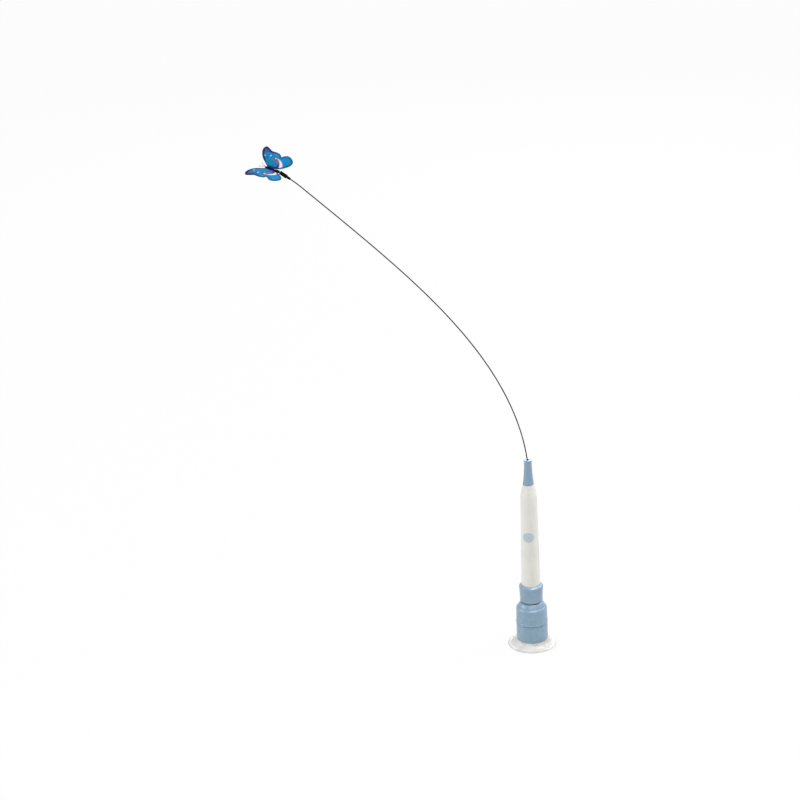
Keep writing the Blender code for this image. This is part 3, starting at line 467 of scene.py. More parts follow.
@dataclass(frozen=True)
class BlackPlastic:
    """Black moulded plastic and shrunk sleeve: soot black with a satin, slightly dusty skin."""

    name: str
    body: Colour = shade(7, 8, 10)
    dusty: Colour = shade(18, 19, 22)
    satin: float = 0.42
    wrinkle: float = 0.7 * MM
    shine: float = 0.05

    def look(self, bench: Bench) -> Look:
        """Lays out the pattern.

        Args:
            bench: The material's bench.

        Returns:
            The shader's inputs.
        """
        cloud = bench.noise(2.4 * MM, 4, 0.6, 0.4)
        wrinkles = bench.noise(self.wrinkle, stretch=(1.0, 1.0, 0.35))
        pores = bench.noise(0.09 * MM, 2, 0.6)
        return {
            "Base Color": bench.coats(
                self.body,
                (cloud.span(0.52, 0.80, 0.0, 0.6), self.dusty),
                (pores.span(0.6, 0.8, 0.0, 0.25), self.dusty),
            ),
            "Roughness": cloud.span(0.3, 0.7, self.satin - 0.08, self.satin + 0.08) + pores * 0.08,
            "Specular IOR Level": self.shine,
            "Normal": bench.relief((wrinkles, 0.22, 0.06 * MM), (pores, 0.18, 0.02 * MM)),
        }


@dataclass(frozen=True)
class BodyVelvet:
    """The butterfly's body: navy with a short nap, and painted shade for its creases laid as darker soft
    clouds.
    """

    name: str = "navy_nap"
    body: Colour = shade(4, 7, 32)
    tip: Colour = shade(11, 16, 50)
    # Painted shade: the crease colour stands in for the shade in the nap's creases
    crease: Colour = shade(2, 3, 14)
    sheen: Colour = shade(60, 80, 190)

    def look(self, bench: Bench) -> Look:
        """Lays out the pattern.

        Args:
            bench: The material's bench.

        Returns:
            The shader's inputs.
        """
        nap = bench.noise(0.11 * MM, 4, 0.7, stretch=(1.0, 1.0, 0.4))
        cloud = bench.noise(1.3 * MM)
        return {
            "Base Color": bench.coats(
                self.body,
                (nap.span(0.42, 0.75), self.tip),
                # Painted shade: the crease colour, laid in soft random clouds
                (cloud.span(0.45, 0.75, 0.0, 0.6), self.crease),
            ),
            "Roughness": nap.span(0.3, 0.7, 0.55, 0.85),
            "Specular IOR Level": 0.06,
            "Sheen Weight": 0.03,
            "Sheen Roughness": 0.4,
            "Sheen Tint": self.sheen,
            "Normal": bench.relief((nap, 0.55, 0.06 * MM)),
        }


@dataclass(frozen=True)
class EyeGloss:
    """The small domed eyes: near black, with fine facets under a wet gloss."""

    name: str = "eye_gloss"
    body: Colour = shade(10, 8, 16)
    glint: Colour = shade(44, 34, 60)

    def look(self, bench: Bench) -> Look:
        """Lays out the pattern.

        Args:
            bench: The material's bench.

        Returns:
            The shader's inputs.
        """
        facets = bench.cells(0.09 * MM, edges=True)
        cloud = bench.noise(0.6 * MM, 2)
        return {
            "Base Color": bench.coats(self.body, (cloud.span(0.4, 0.7), self.glint)),
            "Roughness": facets.span(0.0, 0.3, 0.30, 0.14),
            "Specular IOR Level": 0.4,
            "Normal": bench.relief((facets, 0.3, 0.01 * MM)),
        }


@dataclass(frozen=True)
class Filament:
    """Thin pinkish filament with a darker club, lightly banded along its length."""

    name: str = "pink_filament"
    body: Colour = shade(200, 128, 138)
    band: Colour = shade(172, 96, 112)
    club: Colour = shade(180, 104, 122)

    def look(self, bench: Bench) -> Look:
        """Lays out the pattern.

        Args:
            bench: The material's bench.

        Returns:
            The shader's inputs.
        """
        far = bench.split(Space.LENGTH)[0]
        bands = bench.calc("SINE", far * 90.0)
        cloud = bench.noise(0.3 * MM, 3, 0.6)
        return {
            "Base Color": bench.coats(
                self.body,
                (bands.span(-0.2, 0.9, 0.0, 0.7), self.band),
                (far.span(0.72, 0.86), self.club),
            ),
            "Roughness": cloud.span(0.3, 0.7, 0.32, 0.5),
            "Subsurface Weight": 0.15,
            "Subsurface Radius": (0.5 * MM, 0.3 * MM, 0.3 * MM),
            "Subsurface Scale": 1.0,
            "Normal": bench.relief((cloud, 0.3, 0.02 * MM)),
        }


@dataclass(frozen=True)
class Ground:
    """Where a place on the film lies, as the layers of its print read it.

    The lengths are shares of the wing's reach, and the angle is in degrees forward of square.
    """

    forward: Flow
    out: Flow
    depth: Flow
    slant: Flow
    angle: Flow
    reach: Flow
    drift: Flow


@dataclass(frozen=True)
class Spot:
    """A soft oval spot of the wing's print, in shares of the wing's reach."""

    forward: float
    out: float
    along: float
    across: float
    colour: Colour
    strength: float = 1.0

    def coat(self, ground: Ground) -> Coat:
        """Lays out the spot.

        Args:
            ground: Where a place lies.

        Returns:
            How much of the spot shows there, and its colour.
        """
        ahead = (ground.forward - self.forward) / self.along
        aside = (ground.out - self.out) / self.across
        return (ahead * ahead + aside * aside).span(0.45, 1.5, self.strength, 0.0), self.colour


@dataclass(frozen=True)
class WingPrint:
    """Blue butterfly print on thin film: dark rim and veins, spots, a pale band and a crescent."""

    name: str
    body: Colour = shade(0, 126, 192)
    royal: Colour = shade(0, 100, 166)
    sky: Colour = shade(16, 138, 186)
    teal: Colour = shade(0, 128, 146)
    fore_rim: Colour = shade(6, 80, 126)
    hind_rim: Colour = shade(0, 88, 118)
    ink: Colour = shade(22, 31, 74)
    violet: Colour = shade(64, 56, 118)
    plum: Colour = shade(84, 70, 112)
    mauve: Colour = shade(124, 98, 122)
    brown: Colour = shade(118, 84, 80)
    blush: Colour = shade(202, 184, 192)
    pale: Colour = shade(232, 222, 236)
    ice: Colour = shade(140, 198, 238)
    cream: Colour = shade(222, 210, 194)
    dust: Colour = shade(0, 40, 90)
    sheen: Colour = shade(210, 230, 236)
    hub: Place = (0.029, 0.154)
    vein_spacing: float = 12.5
    slant_share: Place = (0.361, 0.932)

    def under_spots(self) -> tuple[Spot, ...]:
        """Lists the broad patches below the band and the crescent.

        Returns:
            The patches.
        """
        return (
            Spot(0.090, 0.270, 0.130, 0.100, self.teal, 0.9),
            Spot(0.238, 0.270, 0.070, 0.100, self.teal, 0.5),
            Spot(-0.100, 0.174, 0.060, 0.055, shade(0, 106, 210), 0.9),
            Spot(0.000, 0.640, 0.110, 0.034, shade(64, 146, 208), 0.75),
        )

    def upper_spots(self) -> tuple[Spot, ...]:
        """Lists the small spots above the band and the crescent.

        Returns:
            The spots.
        """
        return (
            Spot(0.421, 0.475, 0.040, 0.034, self.ice),
            Spot(0.200, 0.545, 0.036, 0.052, self.ice),
            Spot(0.325, 0.590, 0.024, 0.024, self.sky),
            Spot(0.080, 0.500, 0.030, 0.022, self.brown),
            Spot(-0.030, 0.480, 0.024, 0.030, self.cream),
            Spot(0.470, 0.700, 0.030, 0.036, shade(92, 106, 172), 0.75),
            Spot(0.400, 0.730, 0.026, 0.030, shade(104, 92, 150), 0.7),
        )

    def ground(self, bench: Bench) -> Ground:
        """Reads the film's maps, a little unevenly, so that no line of the print is ruled.

        Args:
            bench: The material's bench.

        Returns:
            Where a place lies.
        """
        drift = bench.noise(2.2 * MM, 3, 0.55)
        wander = (drift - 0.5) * 0.07
        plan = bench.split(Space.PLAN)
        forward = (plan[0] - 0.5) * 2.0 + wander
        out = plan[1] + wander
        return Ground(
            forward,
            out,
            depth=bench.split(Space.RIM)[0],
            slant=forward * self.slant_share[0] + out * self.slant_share[1],
            angle=bench.bearing(forward, out),
            reach=bench.distance(forward, out),
            drift=drift,
        )

    def look(self, bench: Bench) -> Look:
        """Lays out the print.

        Args:
            bench: The material's bench.

        Returns:
            The shader's inputs.
        """
        ground = self.ground(bench)
        veins = self._veins(bench, ground)
        scales = bench.noise(0.16 * MM, 3, 0.65, stretch=(1.0, 0.45, 1.0))
        colour = bench.coats(
            self.royal,
            (ground.drift.span(0.35, 0.7), self.sky),
            ((ground.forward + ground.out).span(0.9, 0.2, 0.0, 0.6), self.body),
            *(spot.coat(ground) for spot in self.under_spots()),
            (ground.slant.span(0.70, 0.80, 0.0, 0.75), self.violet),
            *self._band_and_crescent(bench, ground),
            *(spot.coat(ground) for spot in self.upper_spots()),
            (veins * 0.4, self.fore_rim),
            *self._rim(bench, ground),
        )
        dusty = scales.span(0.35, 0.75, 0.0, 0.25)
        return {
            "Base Color": bench.coats(colour, (dusty, self.dust), tone=Tone.OVERLAY),
            "Roughness": scales.span(0.3, 0.7, 0.38, 0.54) + veins * 0.1,
            "Specular IOR Level": 0.06,
            "Coat Weight": 0.20,
            "Coat Roughness": 0.32,
            "Sheen Weight": 0.08,
            "Sheen Roughness": 0.35,
            "Sheen Tint": self.sheen,
            "Normal": bench.relief((veins, 0.35, 0.10 * MM), (scales, 0.22, 0.03 * MM)),
        }

    def _band_and_crescent(self, bench: Bench, ground: Ground) -> list[Coat]:
        """Lays out the hindwing's field, the pale band before it and the crescent before that.

        Args:
            bench: The material's bench.
            ground: Where a place lies.

        Returns:
            The three coats.
        """
        ahead, aside = ground.forward - self.hub[0], ground.out - self.hub[1]
        from_hub = bench.distance(ahead, aside)
        turn = bench.bearing(aside, self.hub[0] - ground.forward)
        past = from_hub - (0.50 - turn * 0.0015)
        inward = ground.forward * 0.7 + ground.out * 0.5
        field = bench.coats(
            self.body,
            (ground.drift.span(0.4, 0.7, 0.0, 0.5), self.sky),
            (inward.span(-0.10, -0.26, 0.0, 0.85), self.teal),
        )
        band = from_hub.span(0.315, 0.360) * past.span(0.012, -0.045) * turn.span(92.0, 80.0)
        band_hue = bench.coats(self.blush, (turn.span(72.0, 30.0), self.pale))
        crescent = from_hub.span(0.225, 0.265) * from_hub.span(0.368, 0.318) * turn.span(104.0, 90.0)
        stops = ((0.0, self.ink), (0.25, self.plum), (0.5, self.mauve), (0.9, self.brown))
        return [
            (past.span(0.0, 0.03) * ground.angle.span(-17.0, -19.5), field),
            (band, band_hue),
            (crescent, bench.ramp(turn.span(-10.0, 96.0), *stops)),
        ]

    def _veins(self, bench: Bench, ground: Ground) -> Flow:
        """Lays out fine veins that fan out from the root and wander a little.

        Args:
            bench: The material's bench.
            ground: Where a place lies.

        Returns:
            How much of a vein shows there.
        """
        turns = (ground.angle + (ground.drift - 0.5) * 9.0) / self.vein_spacing
        width = bench.calc("ABSOLUTE", bench.calc("FRACT", turns) - 0.5) * ground.reach
        return width.span(0.018, 0.034, 1.0, 0.0) * ground.reach.span(0.12, 0.3)

    def _rim(self, bench: Bench, ground: Ground) -> list[Coat]:
        """Lays out the dark rim: ink along the leading edge and the root, broadest at the tip.

        Args:
            bench: The material's bench.
            ground: Where a place lies.

        Returns:
            The soft coat all round and the ink over it.
        """
        depth = ground.depth + (ground.drift - 0.5) * 0.018
        soft = bench.coats(self.fore_rim, (ground.forward.span(0.0, -0.3), self.hind_rim))
        lead = depth.span(0.052, 0.086, 1.0, 0.0) * (ground.forward - ground.out * 0.62).span(0.0, 0.16)
        tip = depth.span(0.060, 0.110, 1.0, 0.0) * ground.slant.span(0.66, 0.80)
        root = ground.out.span(0.10, 0.16, 0.95, 0.0)
        ink = bench.calc("MAXIMUM", bench.calc("MAXIMUM", lead, tip), root)
        return [(depth.span(0.050, 0.100, 0.95, 0.0), soft), (ink, self.ink)]


BLUE = MouldedPlastic(
    "blue_satin", shade(127, 159, 183), shade(136, 167, 189), shade(118, 151, 176), 0.27, gloss=1.0
)
WHITE = MouldedPlastic(
    "white_satin", shade(236, 233, 226), shade(240, 238, 232), shade(230, 226, 218), 0.35
)
MARK_BLUE = MouldedPlastic(
    "inlay_blue", shade(188, 205, 214), shade(196, 212, 220), shade(180, 198, 208), 0.32
)
NATURAL = MouldedPlastic(
    "natural_nylon", shade(214, 208, 192), shade(222, 217, 203), shade(198, 190, 172), 0.46
)
CUP = SoftClear()
WIRE_STEEL = Metal(
    "spring_wire_steel", shade(48, 47, 46), shade(33, 31, 29), shade(76, 74, 72),
    Space.LENGTH, (0.25, 9.0, 1.0), 1.0, 0.36,
)
PIN_STEEL = Metal("bright_steel", shade(176, 176, 178), shade(120, 112, 104), shade(206, 206, 208))
DARK_PIN = Metal("blackened_pin", shade(40, 38, 38), shade(22, 20, 20), shade(64, 62, 62))
ZINC = Metal("zinc_plated_steel", shade(160, 164, 168), shade(118, 116, 110), shade(190, 194, 198))
BRASS = Metal("drawn_brass", shade(196, 160, 92), shade(128, 92, 52), shade(224, 192, 124))
BARREL_BLACK = BlackPlastic("black_barrel")
SLEEVE_BLACK = BlackPlastic("black_sleeve", shade(9, 9, 11), shade(22, 22, 25), 0.50, 0.4 * MM)
BEAD_BLACK = BlackPlastic("black_bead", shade(6, 6, 8), shade(22, 23, 27), 0.28, 1.2 * MM)
NAVY = BodyVelvet()
EYE = EyeGloss()
PINK = Filament()
FILM = WingPrint("printed_wing")


@lru_cache(maxsize=None)
def made(finish: Finish) -> bpy.types.Material:
    """Builds a finish's material the first time, and gives the same one after that.

    Args:
        finish: The finish.

    Returns:
        Its material.
    """
    material = bpy.data.materials.new(finish.name)
    material.diffuse_color = (*finish.body, 1.0)
    bench = Bench(material)
    shader = bench.flow("BsdfPrincipled", "BSDF", finish.look(bench))
    bench.add("OutputMaterial", {"Surface": shader})
    return material


def rounded(corners: Sequence[Corner], closed: bool) -> list[Place]:
    """Rounds an outline's corners.

    Args:
        corners: The corners in order.
        closed: Whether the last one joins the first.

    Returns:
        The outline's places, as radius and height.
    """
    places: list[Place] = []
    count = len(corners)
    for index, (radius, height, *cut) in enumerate(corners):
        here = Vector((radius, height))
        if not any(cut) or (not closed and index in (0, count - 1)):
            places.append(tuple(here))
            continue
        cuts = []
        for side in (corners[index - 1], corners[(index + 1) % count]):
            away = Vector(side[:2]) - here
            cuts.append(here + away.normalized() * min(cut[0] * MM, away.length * MOST_ROUND))
        for step in range(ROUND_STEPS + 1):
            t = step / ROUND_STEPS
            places.append(tuple(cuts[0] * (1 - t) ** 2 + here * 2 * t * (1 - t) + cuts[1] * t**2))
    return places


def catmull(values: Sequence[float], t: float) -> float:
    """Reads a Catmull-Rom curve between the middle two of four values.

    Args:
        values: The four values.
        t: The share of the way from the second to the third.

    Returns:
        The value there.
    """
    before, start, end, after = values
    return 0.5 * (
        2 * start
        + (end - before) * t
        + (2 * before - 5 * start + 4 * end - after) * t**2
        + (3 * start - 3 * end + after - before) * t**3
    )


def smooth_through(places: Sequence[Place], samples: int) -> list[Place]:
    """Draws a smooth curve through places.

    Args:
        places: The places in order.
        samples: How many steps each span has.

    Returns:
        The places along the curve.
    """
    last = len(places) - 1
    found = []
    for span in range(last):
        near = [places[max(span - 1, 0)], places[span], places[span + 1], places[min(span + 2, last)]]
        for step in range(samples):
            found.append(tuple(catmull(values, step / samples) for values in zip(*near)))
    found.append(tuple(places[-1]))
    return found


def read_curve(curve: Sequence[Place], at: float) -> float:
    """Reads a rising curve's height at a place, held at its ends.

    Args:
        curve: The curve's places, in rising order.
        at: The place to read.

    Returns:
        The height there.
    """
    if at <= curve[0][0]:
        return curve[0][1]
    for (low, first), (high, second) in zip(curve, curve[1:]):
        if low <= at <= high and high > low:
            return first + (second - first) * (at - low) / (high - low)
    return curve[-1][1]


def stand_in_scene(name: str, data: bpy.types.ID) -> Piece:
    """Puts a mesh, a light or a camera into the scene.

    Args:
        name: The object's name.
        data: What it holds.

    Returns:
        The new object.
    """
    thing = bpy.data.objects.new(name, data)
    bpy.context.scene.collection.objects.link(thing)
    return thing


def to_object(name: str, shape: bmesh.types.BMesh, sharp: float = SHARP) -> Piece:
    """Makes an object of a shape, smooth but for its sharp edges.

    Args:
        name: The object's name.
        shape: The shape, which is freed.
        sharp: The angle from which an edge is sharp.

    Returns:
        The new object.
    """
    bmesh.ops.recalc_face_normals(shape, faces=shape.faces)
    mesh = bpy.data.meshes.new(name)
    shape.to_mesh(mesh)
    shape.free()
    mesh.shade_smooth()
    mesh.set_sharp_from_angle(angle=sharp)
    return stand_in_scene(name, mesh)


def turned(name: str, corners: Sequence[Corner], closed: bool = False, steps: int = TURN_STEPS) -> Piece:
    """Turns an outline about Z into one closed body.

    Args:
        name: The piece's name.
        corners: The outline's corners.
        closed: Whether the outline is a loop; otherwise it starts and ends on the axis.
        steps: How many steps one turn has.

    Returns:
        The turned piece, with its UV map of turn and outline length.
    """
    shape = bmesh.new()
    layer = shape.loops.layers.uv.new(Space.TURNING.value)
    angles = [2 * math.pi * step / steps for step in range(steps)]
    ways = [(math.cos(angle), math.sin(angle)) for angle in angles]
    rings = []
    for radius, height in rounded(corners, closed):
        if radius < ON_AXIS:
            rings.append([shape.verts.new((0, 0, height))] * steps)
            continue
        rings.append([shape.verts.new((radius * x, radius * y, height)) for x, y in ways])
    pairs = list(zip(rings, rings[1:]))
    if closed:
        pairs.append((rings[-1], rings[0]))
    for row, (here, there) in enumerate(pairs):
        for step in range(steps):
            after = (step + 1) % steps
            around = [here[step], here[after], there[after], there[step]]
            marks = [(step, row), (step + 1, row), (step + 1, row + 1), (step, row + 1)]
            kept = [k for k in range(4) if around[k] not in around[:k]]
            if len(kept) < 3:
                continue
            face = shape.faces.new([around[k] for k in kept])
            for loop, k in zip(face.loops, kept):
                loop[layer].uv = (marks[k][0] / steps, marks[k][1] / len(pairs))
    return to_object(name, shape)


def swept(name: str, line: Sequence[Vector], radii: Sequence[float], sides: int) -> Piece:
    """Sweeps a round section along a line.

    Args:
        name: The piece's name.
        line: The middle line.
        radii: The radius at each place of it.
        sides: How many sides the section has.

    Returns:
        The swept piece, with its UV map of length share and turn.
    """
    shape = bmesh.new()
    layer = shape.loops.layers.uv.new(Space.LENGTH.value)
    across = (line[1] - line[0]).normalized().orthogonal().normalized()
    angles = [2 * math.pi * k / sides for k in range(sides)]
    rings, gone, marks = [], 0.0, []
    for index, (place, radius) in enumerate(zip(line, radii)):
        here = line[min(index + 1, len(line) - 1)] - line[max(index - 1, 0)]
        here.normalize()
        across = (across - here * across.dot(here)).normalized()
        other = here.cross(across)
        if index:
            gone += (place - line[index - 1]).length
        marks.append(gone)
        reaches = (across * math.cos(angle) + other * math.sin(angle) for angle in angles)
        rings.append([shape.verts.new(place + reach * radius) for reach in reaches])
    for row, (here, there) in enumerate(zip(rings, rings[1:])):
        for k in range(sides):
            after = (k + 1) % sides
            face = shape.faces.new((here[k], here[after], there[after], there[k]))
            turn = ((k, row), (k + 1, row), (k + 1, row + 1), (k, row + 1))
            for loop, (around, along) in zip(face.loops, turn):
                loop[layer].uv = (marks[along] / gone, around / sides)
    shape.faces.new(rings[0][::-1])
    shape.faces.new(rings[-1])
    return to_object(name, shape)


def carve(piece: Piece, low: Sequence[float], high: Sequence[float]) -> None:
    """Cuts a block out of a piece.

    Args:
        piece: The piece that is cut.
        low: The block's lowest corner.
        high: Its highest corner.
    """
    shape = bmesh.new()
    middle = [(a + b) / 2 for a, b in zip(low, high)]
    size = [b - a for a, b in zip(low, high)]
    bmesh.ops.create_cube(shape, size=1.0, matrix=Matrix.LocRotScale(middle, None, size))
    cutter = to_object("cutter", shape)
    modifier = piece.modifiers.new("carve", "BOOLEAN")
    modifier.operation = "DIFFERENCE"
    modifier.solver = "EXACT"
    modifier.object = cutter
    bpy.context.view_layer.update()
    shown = piece.evaluated_get(bpy.context.evaluated_depsgraph_get())
    mesh = bpy.data.meshes.new_from_object(shown)
    piece.modifiers.clear()
    piece.data = mesh
    mesh.set_sharp_from_angle(angle=SHARP)
    bpy.data.objects.remove(cutter)


def fit(piece: Piece, finish: Finish, slot: Slot, body: Body, replaced: Iterable[str] = ()) -> None:
    """Gives a piece its finish, logs the record's slot that it stands for, and sets it on the body that
    carries it.

    Args:
        piece: The piece, in its place at rest.
        finish: Its surface.
        slot: The record's slot that the surface stands for.
        body: The body that carries it.
        replaced: The CAD nodes that it stands for.
    """
    if not piece.data.materials:
        piece.data.materials.append(made(finish))
    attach(piece, body.value)
    if replaced:
        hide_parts(*replaced)
    LOG.info("%s: %d faces, %s, rides %s", piece.name, len(piece.data.polygons), slot.value, body.value)


def dress(node: str, finish: Finish) -> None:
    """Gives a CAD node, whose shape stays, a richer material.

    Args:
        node: The node's name.
        finish: The surface that it gets.
    """
    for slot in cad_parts[node].material_slots:
        slot.material = made(finish)
    LOG.info("%s: CAD shape kept, dressed", node)


@dataclass
class SuctionFoot:
    """The soft cup, the lower housing that stands on it, and the stem that lifts its middle."""

    cup_radius: float = 30.0 * MM
    cup_height: float = 8.0 * MM
    rim_thickness: float = 1.3 * MM
    # How far in from the edge the rim's valley and crown lie, and how far below and above its flat
    rim_valley: Place = (1.6 * MM, 0.16 * MM)
    rim_crown: Place = (0.9 * MM, 0.02 * MM)
    edge_drop: float = 0.12 * MM
    disc_thickness: float = 3.2 * MM
    # Where the hollow under the cup starts and ends, as shares of the cup's radius
    sole_share: Place = (0.42, 0.84)
    sole_depth: float = 0.6 * MM
    upstand_radius: float = 19.7 * MM
    upstand_wall: float = 4.0 * MM
    heart_radius: float = 8.05 * MM
    heart_gap: float = 0.05 * MM
    boss_radius: float = 7.7 * MM
    pocket_radius: float = 5.5 * MM
    pocket_top: float = 3.7 * MM
    skin: float = 1.5 * MM
    stem_bore: float = 3.9 * MM
    housing_foot_radius: float = 19.4 * MM
    housing_top_radius: float = 19.2 * MM
    housing_bottom: float = 8.3 * MM
    housing_top: float = 29.6 * MM
    groove_drop: float = 1.7 * MM
    groove_half: float = 0.35 * MM
    groove_depth: float = 0.16 * MM
    groove_lip: float = 0.01 * MM
    wall: float = 2.0 * MM
    spigot_radius: float = 16.5 * MM
    spigot_top: float = 35.6 * MM
    bead_low: float = 31.8 * MM
    bead_high: float = 33.4 * MM
    bead_reach: float = 0.5 * MM
    web: float = 12.3 * MM
    guide_top: float = 44.0 * MM
    guide_radius: float = 5.9 * MM
    slot_low: float = 38.9 * MM
    slot_half: float = 1.3 * MM
    slot_past: float = 2.0 * MM
    sweep_steps: int = 22
    sweep_power: float = 1.15

    def cup_skirt(self) -> Piece:
        """Builds the cup outside its boss: membrane, upstand, hollow sweep and beaded rim.

        Returns:
            The piece.
        """
        skirt = self.cup_radius - self.upstand_radius
        rise = self.cup_height - self.rim_thickness
        sweep = []
        for step in range(self.sweep_steps, 0, -1):
            angle = step * (math.pi / 2 / self.sweep_steps)
            radius = self.upstand_radius + skirt * (1 - math.sin(angle))
            sweep.append((radius, self.rim_thickness + rise * (1 - math.cos(angle)) ** self.sweep_power))
        sole_in, sole_out = (self.cup_radius * share for share in self.sole_share)
        deep = self.sole_depth
        bore = self.upstand_radius - self.upstand_wall
        return turned("cup_skirt", [
            (self.heart_radius, self.disc_thickness, 0.3),
            (bore, self.disc_thickness, 0.8),
            (bore, self.cup_height, 0.3),
            *sweep,
            (self.cup_radius - self.rim_valley[0], self.rim_thickness - self.rim_valley[1], 0.3),
            (self.cup_radius - self.rim_crown[0], self.rim_thickness + self.rim_crown[1], 0.3),
            (self.cup_radius, self.rim_thickness - self.edge_drop, 0.5),
            (self.cup_radius, 0.0, 0.25),
            (sole_out, 0.0, 0.2),
            (sole_out - deep, deep, 0.2),
            (sole_in + deep, deep, 0.2),
            (sole_in, 0.0, 0.2),
            (self.heart_radius, 0.0, 0.2),
        ], closed=True)

    def cup_heart(self) -> Piece:
        """Builds the boss in the cup's middle, with the pocket that holds the stem's foot.

        Returns:
            The piece.
        """
        edge = self.heart_radius - self.heart_gap
        return turned("cup_heart", [
            (0.0, self.skin),
            (self.pocket_radius, self.skin, 0.2),
            (self.pocket_radius, self.pocket_top, 0.2),
            (self.stem_bore, self.pocket_top, 0.15),
            (self.stem_bore, self.cup_height, 0.3),
            (self.boss_radius, self.cup_height, 0.8),
            (self.boss_radius, self.disc_thickness, 0.4),
            (edge, self.disc_thickness, 0.1),
            (edge, 0.0, 0.15),
            (0.0, 0.0),
        ])

    def housing(self) -> Piece:
        """Builds the lower housing: wall, web, slotted guide tube and snap spigot.

        Returns:
            The piece.
        """
        top_radius, top, spigot = self.housing_top_radius, self.housing_top, self.spigot_radius
        bore, spigot_bore = top_radius - self.wall, spigot - self.wall
        bead = spigot + self.bead_reach
        step_low = top - self.wall - (bore - spigot_bore)
        groove, groove_edge = top - self.groove_drop, top_radius + self.groove_lip
        floor = self.web + self.wall
        ring = turned("lower_housing", [
            (spigot, self.spigot_top, 0.45),
            (spigot, self.bead_high, 0.1),
            (bead, self.bead_high - self.bead_reach, 0.15),
            (bead, self.bead_low + self.bead_reach, 0.15),
            (spigot, self.bead_low, 0.1),
            (spigot, top, 0.15),
            (top_radius, top, 1.0),
            (groove_edge, groove + self.groove_half, 0.1),
            (top_radius - self.groove_depth, groove, 0.12),
            (groove_edge, groove - self.groove_half, 0.1),
            (self.housing_foot_radius, self.housing_bottom, 0.7),
            (bore, self.housing_bottom, 0.3),
            (bore, self.web, 0.3),
            (self.stem_bore, self.web, 0.2),
            (self.stem_bore, self.guide_top, 0.2),
            (self.guide_radius, self.guide_top, 0.3),
            (self.guide_radius, floor, 0.5),
            (bore, floor, 0.5),
            (bore, step_low, 0.3),
            (spigot_bore, step_low + bore - spigot_bore, 0.3),
            (spigot_bore, self.spigot_top, 0.3),
        ], closed=True)
        reach, half = self.guide_radius + self.slot_past, self.slot_half
        carve(ring, (-reach, -half, self.slot_low), (reach, half, self.guide_top + self.slot_past))
        return ring

    def build(self) -> None:
        """Builds and dresses the foot and the pieces that rise in it."""
        fit(self.cup_skirt(), CUP, Slot.SOFT_CLEAR, Body.FOOT, ["suction_cup"])
        fit(self.cup_heart(), CUP, Slot.SOFT_CLEAR, Body.LIFT)
        fit(self.housing(), BLUE, Slot.BLUE, Body.FOOT, ["base_ring"])
        dress("lift_stem", NATURAL)
        dress("cross_pin", PIN_STEEL)


